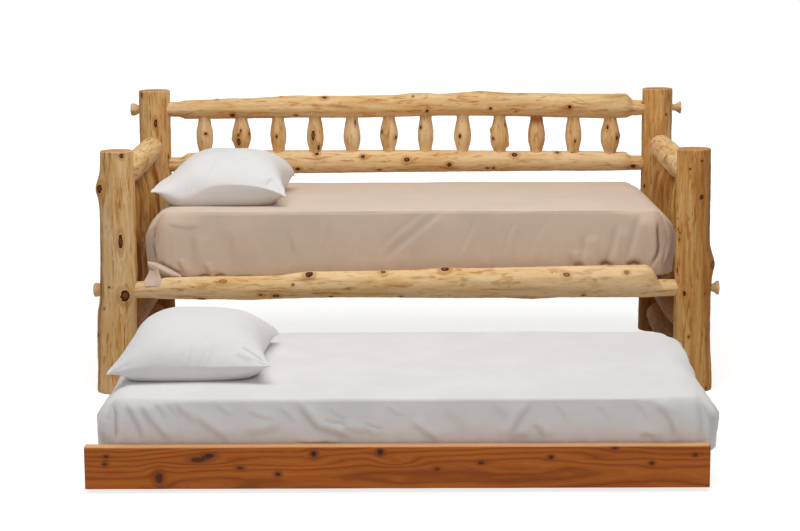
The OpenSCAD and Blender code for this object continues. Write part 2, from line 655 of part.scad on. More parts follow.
// Soft pieces. A plan point is [share of x, share of y, angle round the corner].
plan_long = 5;
plan_short = 3;
plan_corner = 4;
plan_quarter = concat(
    [for (j = [0:plan_short - 1]) [1, j / plan_short, 0]],
    [for (j = [0:plan_corner]) [1, 1, 90 * j / plan_corner]],
    [for (j = [plan_long - 1:-1:1]) [j / plan_long, 1, 90]]);
plan_turned = concat([[0, 1, 90]], [for (j = [len(plan_quarter) - 1:-1:1]) plan_quarter[j]]);
plan = concat(
    [for (p = plan_quarter) [1, 1, p]], [for (p = plan_turned) [-1, 1, p]],
    [for (p = plan_quarter) [-1, -1, p]], [for (p = plan_turned) [1, -1, p]]);
// How near a plan point is to the middle of a corner, from 0 to 1
function cornered(p) = p[0] < 1 || p[1] < 1 ? pow(p[0] * p[1], 3) * 0.5 : 0.5 + 0.5 * sin(2 * p[2]);
// How far a plan point belongs to an end, from 0 to 1
function endwise(p) = p[0] == 1 ? pow(cos(p[2]), 2) : 0;
function plan_point(q, hx, hy, r, draw) =
    let (p = q[2], x = (hx - r) * p[0] + r * cos(p[2]), y = (hy - r) * p[1] + r * sin(p[2]))
    [q[0] * (x - draw * (1 - p[1] * p[1]) * p[0]), q[1] * (y - draw * (1 - p[0] * p[0]) * p[1])];
// Height of a mattress's top above its mean edge, at x and y from its middle
function crown_rise(x, y, hx, hy, tilt) =
    mattress_crown * (1 - pow(min(1, abs(x) / hx), 4)) * (1 - pow(min(1, abs(y) / hy), 2)) - tilt * y / hy;
// How much lower the top is over a corner
corner_drop = 16;
function corner_fall(x, y, hx, hy) =
    corner_drop * pow(min(1, abs(x) / (hx - corner_drop)) * min(1, abs(y) / (hy - corner_drop)), 10);
module mattress(l, w, h, tilt) {
    hx = l / 2;
    hy = w / 2;
    foot_r = 30;
    low = [for (a = [0, 35, 70]) [foot_r * (1 - sin(a)), foot_r * (1 - cos(a)), 0]];
    side = [for (u = [0.35, 0.7]) [0, u, 1]];
    edge = [for (a = [0, 30, 60, 85]) [1 - cos(a), sin(a), 2]];
    crown = [for (u = [0.12, 0.3, 0.6, 0.92]) [u, 0, 3]];
    skin([for (k = concat(low, side, edge, crown))
        [for (q = plan)
            let (
                c = cornered(q[2]),
                end_r = min(mattress_end_r, 0.4 * h),
                er = max(mattress_edge_r * (1 + 0.9 * c), mix(mattress_edge_r, end_r, endwise(q[2]))),
                inset = k[2] == 2 ? er * k[0] : k[2] == 3 ? er + (hy - er) * k[0] : k[0],
                r = max(mattress_corner_r - inset, 12),
                xy = plan_point(q, hx - inset, hy - inset, r, k[2] == 0 ? 0 : mattress_draw),
                drop = corner_fall(xy[0], xy[1], hx, hy),
                top = h + crown_rise(xy[0], xy[1], hx, hy, tilt) - drop,
                wall = h - er - drop - tilt * xy[1] / hy,
                z = [k[1], mix(foot_r, wall, k[1]), top - er * (1 - k[1]), top][k[2]])
            [xy[0], xy[1], z]]]);
}
module daybed_mattress() {
    color("Tan") placed()
        translate([mattress_shift, 0, mattress_z + soft_gap])
            mattress(mattress_l, mattress_w, mattress_h - soft_gap, mattress_tilt);
}

// Pillow that lies at [x, y] on a mattress of half size and tilt [hx, hy, tilt], from the height of its edge
pillow_side = 9;
pillow_plan = concat(
    [for (j = [0:pillow_side - 1]) [1, 2 * j / pillow_side - 1]],
    [for (j = [0:pillow_side - 1]) [1 - 2 * j / pillow_side, 1]],
    [for (j = [0:pillow_side - 1]) [-1, 1 - 2 * j / pillow_side]],
    [for (j = [0:pillow_side - 1]) [2 * j / pillow_side - 1, -1]]);
module pillow(h, seam_h, turned, place, half) {
    scales = [0.2, 0.42, 0.62, 0.78, 0.9, 0.97];
    levels = concat([for (s = scales) [s, -1]], [[1, 0]], [for (i = [5:-1:0]) [scales[i], 1]]);
    skin([for (k = levels)
        [for (p = pillow_plan)
            let (
                u = p[0] * k[0],
                v = p[1] * k[0],
                x = pillow_w / 2 * u * (1 - pillow_draw * 2 * (1 - v * v) * u * u),
                dy = pillow_l / 2 * v * (1 - pillow_draw * (1 - u * u) * v * v),
                full = pow((1 - pow(abs(u), 2.6)) * (1 - pow(abs(v), 2.6)), 0.62),
                seam = seam_h * (1 - pillow_tip_drop * pow(abs(u * v), 2)),
                bed_x = place[0] + x * cos(turned) - dy * sin(turned),
                bed_y = place[1] + x * sin(turned) + dy * cos(turned),
                bed = crown_rise(bed_x, bed_y, half[0], half[1], half[2]) + soft_gap + pillow_sag,
                z = k[1] > 0 ? seam + (h - seam_h) * full : max(bed, seam - 2.4 * seam_h * full))
            [x, dy, k[1] == 0 ? seam : z]]]);
}
// A facet of the pillow dips this much below the curve of the mattress
pillow_sag = 0.3;
module daybed_pillow() {
    place = [pillow_end_gap - mattress_l / 2, -pillow_forward];
    color("White") placed()
        translate([mattress_shift + place[0], place[1], mattress_edge_z]) rotate([0, 0, pillow_turn])
            pillow(pillow_h, pillow_seam_h, pillow_turn, place,
                [mattress_l / 2, mattress_w / 2, mattress_tilt]);
}

// Trundle box: boards round a frame of cleats and a beam that carries the slats
module trundle_placed() {
    placed() translate([trundle_shift, 0, 0]) children();
}
side_z = trundle_top_z - side_h;
trundle_cleat_z = trundle_slat_z - trundle_cleat_h;
inner_half = box_half_x - side_t;
module trundle_front_board() {
    color("Sienna") trundle_placed()
        translate([-board_l / 2, board_front_y, board_floor_gap])
            board(board_l, board_t, board_h, board_ease);
}
module trundle_rear_board() {
    color("Peru") trundle_placed()
        translate([-box_half_x, box_back_y - side_t, side_z]) board(2 * box_half_x, side_t, side_h, 2);
}
module side_board() {
    translate([0, board_back_y, side_z])
        rotate([0, 0, 90]) board(trundle_depth - side_t, side_t, side_h, 2);
}
module trundle_left_side() {
    color("Peru") trundle_placed() translate([-inner_half, 0, 0]) side_board();
}
module trundle_right_side() {
    color("Peru") trundle_placed() translate([box_half_x, 0, 0]) side_board();
}
module trundle_beam(y) {
    color("Peru") trundle_placed()
        translate([-inner_half, y, trundle_cleat_z])
            board(2 * inner_half, trundle_cleat_t, trundle_cleat_h, 1.5);
}
module trundle_front_cleat() trundle_beam(board_back_y);
module trundle_rear_cleat() trundle_beam(cleat_back_y);
module trundle_centre_beam() trundle_beam((cleat_front_y + cleat_back_y - trundle_cleat_t) / 2);
module trundle_slats() {
    color("Tan") trundle_placed()
        slat_row(trundle_slat_count, inner_half - 10, board_back_y + 1, trundle_depth - side_t - 2,
            trundle_slat_z);
}

// Casters under blocks in the corners of the box
caster_places = [
    for (side = [-1, 1], back = [0, 1])
        [side * (inner_half - block_w / 2),
            back == 0 ? cleat_front_y + block_w / 2 : cleat_back_y - block_w / 2]];
module each_caster() {
    for (place = caster_places)
        translate([place[0], place[1], 0]) children();
}
module trundle_corner_blocks() {
    block_t = trundle_slat_z - caster_h;
    color("Tan") trundle_placed()
        each_caster()
            translate([-block_w / 2, -block_w / 2, caster_h]) board(block_w, block_w, block_t, 1.5);
}
axle_z = wheel_d / 2;
cheek_x = wheel_w / 2 + 1;
cheek_r = axle_d / 2 + 5;
cheek_top = 20;
module fork_cheek() {
    rotate([90, 0, 90]) linear_extrude(fork_t)
        difference() {
            union() {
                translate([0, axle_z]) circle(r = cheek_r);
                polygon([[-cheek_r, axle_z], [cheek_r, axle_z], [cheek_top, caster_h - fork_t],
                    [-cheek_top, caster_h - fork_t]]);
            }
            translate([0, axle_z]) circle(d = axle_d + axle_gap);
        }
}
module caster_forks() {
    plate_x = 60;
    plate_y = 50;
    screw_hole_d = 5;
    margin = 8;
    color("LightGray") trundle_placed()
        each_caster() {
            difference() {
                translate([-plate_x / 2, -plate_y / 2, caster_h - fork_t])
                    board(plate_x, plate_y, fork_t, 0.4);
                for (x = [-1, 1], y = [-1, 1])
                    translate([x * (plate_x / 2 - margin), y * (plate_y / 2 - margin), 0])
                        cylinder(d = screw_hole_d, h = caster_h + fork_t);
            }
            translate([cheek_x, 0, 0]) fork_cheek();
            translate([-cheek_x - fork_t, 0, 0]) fork_cheek();
        }
}
module caster_axles() {
    head = 2;
    reach = cheek_x + fork_t;
    color("Silver") trundle_placed()
        each_caster()
            translate([0, 0, axle_z]) rotate([0, 90, 0]) {
                translate([0, 0, -reach]) cylinder(d = axle_d, h = 2 * reach);
                translate([0, 0, -reach - head]) cylinder(d = axle_d + 4, h = head);
                translate([0, 0, reach]) cylinder(d = axle_d + 4, h = head);
            }
}
module caster_wheel(i) {
    bore_r = axle_d / 2 + axle_gap;
    r = wheel_d / 2;
    half = wheel_w / 2;
    color("DimGray") trundle_placed()
        translate([caster_places[i][0], caster_places[i][1], axle_z]) rotate([0, 90, 0])
            rotate_extrude() polygon([
                [bore_r, -half], [bore_r + 4, -half], [bore_r + 5, 1 - half], [r - 6, 1 - half],
                [r - 5, -half], [r - 2, -half], [r, 2 - half], [r, half - 2], [r - 2, half],
                [r - 5, half], [r - 6, half - 1], [bore_r + 5, half - 1], [bore_r + 4, half],
                [bore_r, half]]);
}

// Soft pieces of the trundle
trundle_mattress_l = board_l + trundle_overhang;
trundle_mattress_w = trundle_depth - 10;
trundle_mattress_mid = board_back_y + 6 + trundle_mattress_w / 2;
// The trundle pillow lies this far to the right of and behind where the daybed pillow's measure puts it
pillow_shift = [-3, -18];
module trundle_mattress() {
    color("WhiteSmoke") trundle_placed()
        translate([trundle_mattress_shift, trundle_mattress_mid, trundle_top_z + soft_gap])
            mattress(trundle_mattress_l, trundle_mattress_w, trundle_mattress_h - soft_gap, 0);
}
module trundle_pillow() {
    place = [pillow_end_gap - trundle_mattress_l / 2, 0] + pillow_shift;
    turned = 1;
    color("White") trundle_placed()
        translate([trundle_mattress_shift + place[0], trundle_mattress_mid + place[1], trundle_edge_z])
            rotate([0, 0, turned])
                pillow(trundle_pillow_h, trundle_pillow_seam_h, turned, place,
                    [trundle_mattress_l / 2, trundle_mattress_w / 2, 0]);
}

front_left_post();
front_right_post();
rear_left_post();
rear_right_post();
front_rail();
rear_rail();
back_top_rail();
back_lower_rail();
for (i = [1:back_spindles])
    back_spindle(i);
left_arm_rail();
right_arm_rail();
left_mid_rail();
right_mid_rail();
left_bottom_rail();
right_bottom_rail();
for (i = [1:arm_spindles]) {
    arm_spindle(-1, i);
    arm_spindle(1, i);
}
bolt_knobs();
rail_bolts();
front_cleat();
rear_cleat();
mattress_slats();
daybed_mattress();
daybed_pillow();
trundle_front_board();
trundle_rear_board();
trundle_left_side();
trundle_right_side();
trundle_front_cleat();
trundle_rear_cleat();
trundle_centre_beam();
trundle_slats();
trundle_corner_blocks();
caster_forks();
caster_axles();
caster_wheel(0);  // caster_wheel_front_left
caster_wheel(1);  // caster_wheel_rear_left
caster_wheel(2);  // caster_wheel_front_right
caster_wheel(3);  // caster_wheel_rear_right
trundle_mattress();
trundle_pillow();
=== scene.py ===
"""Dresses a log daybed and its trundle: peeled cedar logs, whittled knobs, a sawn board, sheets and pillows.

Everything is in metres, in the frame's own axes: +X is right, +Y is the back and +Z is up.
"""

import math
from collections import namedtuple

import bpy
import numpy as np
from bpy.props import FloatProperty, FloatVectorProperty, IntProperty, PointerProperty
from mathutils import Matrix, Vector
from mathutils.bvhtree import BVHTree


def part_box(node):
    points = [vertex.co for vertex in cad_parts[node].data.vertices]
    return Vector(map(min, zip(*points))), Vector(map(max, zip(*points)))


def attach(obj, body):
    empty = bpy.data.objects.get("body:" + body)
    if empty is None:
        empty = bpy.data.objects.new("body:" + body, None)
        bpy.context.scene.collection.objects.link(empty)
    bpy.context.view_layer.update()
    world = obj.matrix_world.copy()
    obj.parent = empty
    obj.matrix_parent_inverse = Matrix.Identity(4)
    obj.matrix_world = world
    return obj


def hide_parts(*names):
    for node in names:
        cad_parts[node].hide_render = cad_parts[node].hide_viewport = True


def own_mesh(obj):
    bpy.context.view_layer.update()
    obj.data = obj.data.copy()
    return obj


bl_info = {
    "name": "Log Daybed with Trundle",
    "version": (1, 0, 0),
    "blender": (4, 5, 0),
    "location": "3D View > Sidebar > Daybed",
    "description": "Dresses the logs, board, sheets and pillows of a daybed and its trundle",
    "category": "Object",
}

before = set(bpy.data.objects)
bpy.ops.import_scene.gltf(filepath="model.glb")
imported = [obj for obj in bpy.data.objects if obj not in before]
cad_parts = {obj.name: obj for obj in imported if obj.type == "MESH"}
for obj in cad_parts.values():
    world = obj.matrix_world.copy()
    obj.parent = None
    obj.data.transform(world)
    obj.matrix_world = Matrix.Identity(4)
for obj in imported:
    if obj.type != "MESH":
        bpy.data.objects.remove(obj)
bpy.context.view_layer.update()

MM = 0.001
FULL_TURN = 2 * math.pi

# The middle lines of the logs
POST_X = 1.02
FRONT_LOG_Y = 0.090115
REAR_LOG_Y = 1.160115
MIDDLE_Y = 0.625115
SIDE_Z = 0.368
BACK_LOWER_Z = 0.690
BACK_TOP_Z = 0.915
ARM_Z = 0.768
MID_Z = 0.230
BOTTOM_Z = 0.088


# Materials


class Term:
    """A value in a material. Sums written on it add the Math nodes."""

    def __init__(self, finish, socket):
        self.finish = finish
        self.socket = socket

    def math(self, operation, *others):
        return self.finish.node("Math", {"operation": operation}, dict(enumerate((self, *others))))

    def flipped(self, operation, other):
        return self.finish.node("Math", {"operation": operation}, {0: other, 1: self})

    def __add__(self, other):
        return self.math("ADD", other)

    def __sub__(self, other):
        return self.math("SUBTRACT", other)

    def __mul__(self, other):
        return self.math("MULTIPLY", other)

    def __truediv__(self, other):
        return self.math("DIVIDE", other)

    def __pow__(self, other):
        return self.math("POWER", other)

    def __rsub__(self, other):
        return self.flipped("SUBTRACT", other)

    def __rtruediv__(self, other):
        return self.flipped("DIVIDE", other)

    __radd__ = __add__
    __rmul__ = __mul__

    def sine(self):
        return self.math("SINE")

    def least(self, other):
        return self.math("MINIMUM", other)

    def most(self, other):
        return self.math("MAXIMUM", other)

    def rise(self, low, high):
        """0 below low, 1 above high, and a smooth step between them."""
        values = {"Value": self, "From Min": low, "From Max": high}
        return self.finish.node("MapRange", {"interpolation_type": "SMOOTHSTEP"}, values)


class Finish:
    """A material or a world that is being mixed."""

    def __init__(self, name, kind="materials"):
        self.owner = getattr(bpy.data, kind).new(name)
        self.owner.use_nodes = True
        self.tree = self.owner.node_tree
        self.tree.nodes.clear()

    def node(self, kind, settings=None, values=None, output=0):
        """Adds a node, its settings first and then its sockets, and returns an output if it has any."""
        made = self.tree.nodes.new("ShaderNode" + kind)
        for name, value in (settings or {}).items():
            setattr(made, name, value)
        for name, value in (values or {}).items():
            if isinstance(value, Term):
                self.tree.links.new(value.socket, made.inputs[name])
            else:
                made.inputs[name].default_value = value
        return Term(self, made.outputs[output]) if made.outputs else None

    def attribute(self, name, output="Fac"):
        return self.node("Attribute", {"attribute_name": name}, output=output)

    def place(self):
        return self.node("TexCoord", output="Object")

    def parts(self, vector):
        first = self.node("SeparateXYZ", values={0: vector})
        return [Term(self, output) for output in first.socket.node.outputs]

    def join(self, x, y, z):
        return self.node("CombineXYZ", values={0: x, 1: y, 2: z})

    def length(self, vector):
        return self.node("VectorMath", {"operation": "LENGTH"}, {0: vector}, "Value")

    def noise(self, vector, scale, detail=2.0, roughness=0.5, distortion=0.0):
        values = {"Vector": vector, "Scale": scale, "Detail": detail, "Roughness": roughness}
        return self.node("TexNoise", values={**values, "Distortion": distortion})

    def drawn(self, vector, scale, detail=3.0, roughness=0.6, distortion=0.0):
        """Noise that is drawn out, by a scale for each axis."""
        vector = self.node("VectorMath", {"operation": "MULTIPLY"}, {0: vector, 1: scale})
        return self.noise(vector, 1.0, detail, roughness, distortion)

    def blend(self, share, first, second):
        """A colour between two colours."""
        return self.node("Mix", {"data_type": "RGBA"}, {0: share, 6: rgba(first), 7: rgba(second)}, 2)

    def painted(self, colour, *coats):
        """A colour under coats of others, each given as (its share, its colour)."""
        for share, coat in coats:
            colour = self.blend(share, colour, coat)
        return colour

    def bump(self, height, depth, strength, below=None):
        values = {"Height": height, "Distance": depth, "Strength": strength}
        if below is not None:
            values["Normal"] = below
        return self.node("Bump", values=values)

    def seen_plainly(self):
        """1 for what the camera sees, also in a gloss or through glass, and 0 for what lights a surface."""
        path = self.node("LightPath").socket.node.outputs
        kinds = ("Camera", "Glossy", "Transmission")
        camera, glossy, passing = (Term(self, path[f"Is {kind} Ray"]) for kind in kinds)
        return camera.most(glossy).most(passing)

    def shown(self, shader, kind="OutputMaterial"):
        self.node(kind, values={"Surface": shader})
        return self.owner

    def surface(self, **sockets):
        values = {name.replace("_", " "): value for name, value in sockets.items()}
        return self.shown(self.node("BsdfPrincipled", values=values))


def rgba(colour):
    """A plain colour with its alpha. A Term stays as it is."""
    return colour if isinstance(colour, Term) else (*colour[:3], 1.0)


def rings(depth, width):
    """Growth rings of a width, from 0 to 1, over how deep in the log a place lies."""
    return (depth * (FULL_TURN / width)).sine() * 0.5 + 0.5


def peeled_cedar(name, look):
    """Fibres along the log, growth rings where the drawknife cut through them, knots and resin."""
    f = Finish(name)
    grain = f.attribute("grain", "Vector")
    stain = f.attribute("stain")
    cloud = f.drawn(grain, (11, 11, 2.4), roughness=0.55)
    broad = f.drawn(grain, (58, 58, 4), distortion=0.4)
    fine = f.drawn(grain, (240, 240, 8))
    fibre = f.drawn(grain, (620, 620, 20))
    patch = f.drawn(grain, (34, 34, 4.5), distortion=0.5)
    fleck = f.drawn(grain, (88, 88, 13), distortion=0.7)
    dash = f.drawn(grain, (190, 190, 17), 2.0, 0.5, 0.6)
    ragged = f.drawn(grain, (190, 190, 130))
    crack = f.drawn(grain, (520, 520, 300), 2.0, 0.5).rise(0.50, 0.60)
    ring_line = rings(f.attribute("layer") + f.noise(grain, 22.0, 1.0) * 0.0016, look.ring_width) ** 3.0
    # How warm the log is, and for the logs under the bed painted shade as well
    warmth_and_shade = f.attribute("tone") + (cloud - 0.5) * 1.5 + (broad - 0.5) * 1.7 + (fine - 0.5) * 0.7
    bark = warmth_and_shade.rise(-0.2, 0.8)
    # A knot has a dark rim round a cracked eye, and a warm halo in the wood about it
    across, up, dark = f.parts(f.attribute("knot", "Vector"))
    reach = f.length(f.join(across, up, 0.0)) + (ragged - 0.5) * 0.9
    halo = reach.rise(0.95, 1.25) * (1 - reach.rise(1.4, 2.5))
    core = (1 - reach.rise(0.84, 1.04)) * dark.rise(0.02, 0.25)
    rim = core * reach.rise(0.30, 0.80)
    eye = f.blend(dark.rise(0.3, 0.85), look.amber, f.blend(crack, look.knot_eye, look.knot))
    colour = f.painted(
        look.pale,
        (warmth_and_shade.rise(-0.15, 0.95), look.honey),
        (warmth_and_shade.rise(0.70, 1.5) * 0.9, look.amber),
        (ring_line * 0.06, look.amber),
        # Patches and flecks of inner bark that the drawknife left, then thin dashes of resin
        (patch.rise(0.54, 0.68) * (0.15 + bark * 0.45), look.amber),
        (fleck.rise(0.55, 0.64) * (0.30 + bark * 0.6), look.amber),
        (dash.rise(0.64, 0.74) * (0.3 + warmth_and_shade.rise(0.0, 0.9) * 0.65), look.resin),
        ((1 - fibre.rise(0.30, 0.55)) * 0.14, look.amber),
        # Resin streaks, and the broad painted shade of the logs under the bed
        (stain.most(0.0).least(1.0) * (0.45 + fibre * 0.5 + fleck * 0.4), look.resin),
        ((stain * -1.0).most(0.0).least(1.0) * 0.7, look.weathered),
        (halo * 0.55 * dark, look.amber),
        (core * dark.most(0.85), eye),
        (rim * dark * 0.9, look.knot),
    )
    height = fibre * 0.35 + ring_line * 0.12 + fine * 0.6 + broad * 0.7 - core * 1.3 * ragged
    roughness = 0.56 + fibre * 0.16 + core * 0.12
    shade = f.bump(height, 0.0011, 0.55)
    return f.surface(Base_Color=colour, Roughness=roughness, Normal=shade, Specular_IOR_Level=0.10)


def sawn_cedar(name, look):
    """The dark cedar of the front board: long wavy rings, dark knots and a lightly sawn surface."""
    f = Finish(name)
    grain = f.attribute("grain", "Vector")
    fibre = f.drawn(grain, (16, 420, 420))
    cloud = f.drawn(grain, (2.2, 22, 22), roughness=0.55)
    depth = f.attribute("layer") + f.drawn(grain, (7, 24, 24), 2.0, 0.5) * 0.010
    wave = rings(depth, 0.013)
    fine = rings(depth, 0.0031)
    ragged = f.noise(grain, 190.0, 2.0)
    across, up, dark = f.parts(f.attribute("knot", "Vector"))
    reach = f.length(f.join(across, up, 0.0)) + (ragged - 0.5) * 0.7
    core = (1 - reach.rise(0.6, 1.2)) * dark.rise(0.02, 0.25)
    halo = 1 - reach.rise(0.9, 2.8)
    colour = f.painted(
        look.board_dark,
        (cloud.rise(0.32, 0.72), look.board),
        ((wave ** 5.0) * 0.62, look.board_ring),
        (((1 - wave) ** 3.0) * 0.22, look.board_light),
        ((fine ** 3.0) * 0.20, look.board_ring),
        (fibre.rise(0.45, 0.75) * 0.22, look.board_light),
        (halo * (0.55 + ragged * 0.4) * dark, look.board_ring),
        (core * dark, look.knot),
        # Paler sapwood and a painted highlight along the upper edge
        (f.attribute("tone"), f.blend(fibre, look.board_edge, look.board_light)),
    )
    shade = f.bump(fibre * 0.5 - (wave ** 5.0) * 0.3 - core * 0.8, 0.0009, 0.5)
    return f.surface(Base_Color=colour, Roughness=0.42 + fibre * 0.2, Normal=shade, Specular_IOR_Level=0.18)


def sawn_pine(name, along, look):
    """Plain sawn pine for the hidden boards. along is 1 on the axis that a board's grain follows."""
    f = Finish(name)
    place = f.place()

    def stretched(long, short):
        return tuple(long if a else short for a in along)

    fibre = f.drawn(place, stretched(6.0, 260.0))
    clouds = f.drawn(place, stretched(0.9, 11.0), 1.0, 0.5)
    late_wood = f.drawn(place, stretched(1.6, 60.0), 2.0, 0.5, 0.6)
    colour = f.painted(
        look.pine,
        (clouds.rise(0.35, 0.65), look.pine_warm),
        (late_wood.rise(0.5, 0.7) * 0.4, look.pine_ring),
        (fibre.rise(0.4, 0.7) * 0.2, look.pine_ring),
    )
    shade = f.bump(fibre + late_wood * 0.6, 0.0006, 0.5)
    return f.surface(Base_Color=colour, Roughness=0.58 + fibre * 0.2, Normal=shade)


def woven(name, colour, look):
    """Plain-woven sheeting: crossed threads, slubs and a little fuzz."""
    f = Finish(name)
    place = f.place()
    turns = FULL_TURN / look.thread
    drift = f.noise(place, 60.0, 1.0) * 1.6
    x, y, z = ((part * turns + drift).sine() for part in f.parts(place))
    weave = (x + y + z) / 3.0
    slub = f.drawn(place, (30, 420, 420), 2.0, 0.5) + f.drawn(place, (420, 30, 420), 2.0, 0.5)
    cloud = f.noise(place, 5.5, 3.0, 0.55)
    dull = [c * 0.96 for c in colour]
    bright = [min(c * 1.02, 0.93) for c in colour]
    # Painted shade: the colour darkens at the bottoms of folds and grooves and under the pillows, where
    # little light reaches
    shaded = [c * share for c, share in zip(colour, (0.30, 0.24, 0.20))]
    base = f.painted(
        dull,
        (cloud.rise(0.35, 0.65), bright),
        ((slub - 0.7).rise(0.1, 0.5) * 0.35, dull),
        (f.attribute("deep"), shaded),
    )
    rough = 0.80 + (cloud - 0.5) * 0.12
    crumple = f.bump(f.noise(place, 26.0, 3.0, 0.5, 0.3), 0.0035, look.crumple)
    shade = f.bump(weave * 0.6 + slub * 0.5, 0.00035, 0.5, crumple)
    return f.surface(Base_Color=base, Roughness=rough, Normal=shade, Sheen_Weight=0.25, Sheen_Roughness=0.5)


def steel(name, colour):
    """Plated steel, lightly brushed."""
    f = Finish(name)
    place = f.place()
    cloud = f.noise(place, 90.0, 3.0)
    base = f.blend(cloud.rise(0.35, 0.65), [c * 0.7 for c in colour], colour)
    shade = f.bump(f.drawn(place, (60, 60, 900), 2.0, 0.5), 0.0002, 0.4)
    return f.surface(Base_Color=base, Roughness=0.34 + cloud * 0.2, Normal=shade, Metallic=0.9)


def rubber(name):
    """Black rubber with a little dust on it."""
    f = Finish(name)
    dust = f.noise(f.place(), 160.0, 3.0)
    base = f.blend(dust.rise(0.45, 0.8), (0.035, 0.035, 0.036), (0.10, 0.098, 0.092))
    return f.surface(Base_Color=base, Roughness=0.6 + dust * 0.2, Normal=f.bump(dust, 0.0002, 0.4))


def material_once(name, make, *inputs):
    return bpy.data.materials.get(name) or make(name, *inputs)


def looks():
    scene = bpy.context.scene
    return scene.daybed_wood, scene.daybed_cloth, scene.daybed_stage


def cedar():
    return material_once("peeled_cedar", peeled_cedar, looks()[0])


def sheeting(name, colour):
    return material_once(name, woven, colour, looks()[1])


# Meshes


def hit_tree(node):
    """What a ray can hit of a solid."""
    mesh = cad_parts[node].data
    return BVHTree.FromPolygons([v.co for v in mesh.vertices], [p.vertices for p in mesh.polygons])


def new_piece(name, points, faces, material, body, slot, replaces=(), **values):
    """A smooth mesh that rides on a body, stands for nodes of the frame and holds values for its material."""
    mesh = bpy.data.meshes.new(name)
    mesh.from_pydata(np.asarray(points, float).tolist(), [], [list(map(int, face)) for face in faces])
    mesh.validate()
    mesh.shade_smooth()
    mesh.materials.append(material)
    for key, held in values.items():
        kind, field = ("FLOAT", "value") if held.ndim == 1 else ("FLOAT_VECTOR", "vector")
        layer = mesh.attributes.new(key, kind, "POINT")
        layer.data.foreach_set(field, held.astype(np.float32).ravel())
    piece = bpy.data.objects.new(name, mesh)
    bpy.context.scene.collection.objects.link(piece)
    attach(piece, body)
    if replaces:
        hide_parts(*replaces)
    return piece


def tube_faces(index):
    """Faces of a tube whose rows of points run round it."""
    beside = np.roll(index, -1, 1)
    return np.stack([index[:-1], beside[:-1], beside[1:], index[1:]], -1).reshape(-1, 4).tolist()


def grid_faces(index):
    """Faces between the points of a grid."""
    return np.stack([index[:-1, :-1], index[1:, :-1], index[1:, 1:], index[:-1, 1:]], -1).reshape(-1, 4)


def middle_and_half(low, high):
    low, high = np.array(low), np.array(high)
    return (low + high) / 2, (high - low) / 2


def rounded(points, half, ease):
    """A box's points, drawn in so that its edges are rounded, and the way that each of them faces."""
    inner = np.clip(points, -(half - ease), half - ease)
    off = (points - inner) / ease
    outward = off / np.linalg.norm(off, axis=1, keepdims=True)
    return inner + outward * ease, outward


def swing_from(turn, middle):
    """The signed angle from a middle to each turn, at most half a turn either way."""
    return np.angle(np.exp(1j * (turn - middle)))


def smooth(share):
    """A rise from 0 to 1 that starts and ends gently."""
    return share * share * (3 - 2 * share)


def softened(grid, along, around):
    """A grid blurred by so many cells from row to row, and by so many round each row, which is a ring."""
    out = grid
    for axis, width, mode in ((0, along, "edge"), (1, around, "wrap")):
        if width < 0.3:
            continue
        reach = int(math.ceil(3 * width))
        steps = np.arange(-reach, reach + 1)
        weights = np.exp(-0.5 * (steps / width) ** 2)
        weights /= weights.sum()
        pads = [(reach, reach) if a == axis else (0, 0) for a in (0, 1)]
        padded = np.pad(out, pads, mode=mode)
        size = out.shape[axis]
        out = sum(w * np.take(padded, np.arange(k, k + size), axis) for k, w in enumerate(weights))
    return out


def filled(grid, hidden):
    """The grid with its hidden cells drawn smoothly across from the cells round them."""
    grid = np.where(hidden, np.nan, grid)
    means = np.nanmean(grid, axis=1, keepdims=True)
    grid = np.where(hidden, np.broadcast_to(means, grid.shape), grid)
    for _ in range(240):
        up = np.vstack([grid[:1], grid[:-1]])
        down = np.vstack([grid[1:], grid[-1:]])
        spread = (up + down + np.roll(grid, 1, 1) + np.roll(grid, -1, 1)) / 4
        grid = np.where(hidden, spread, grid)
    return grid


def slow_wave(rng, where, length, count=5):
    """A smooth wandering value about zero, within about one either way."""
    out = np.zeros_like(where)
    for k in range(count):
        out += np.sin(where * FULL_TURN / (length * (0.6 + 0.35 * k)) + rng.uniform(0, FULL_TURN))
    return out / count ** 0.5 / 1.2
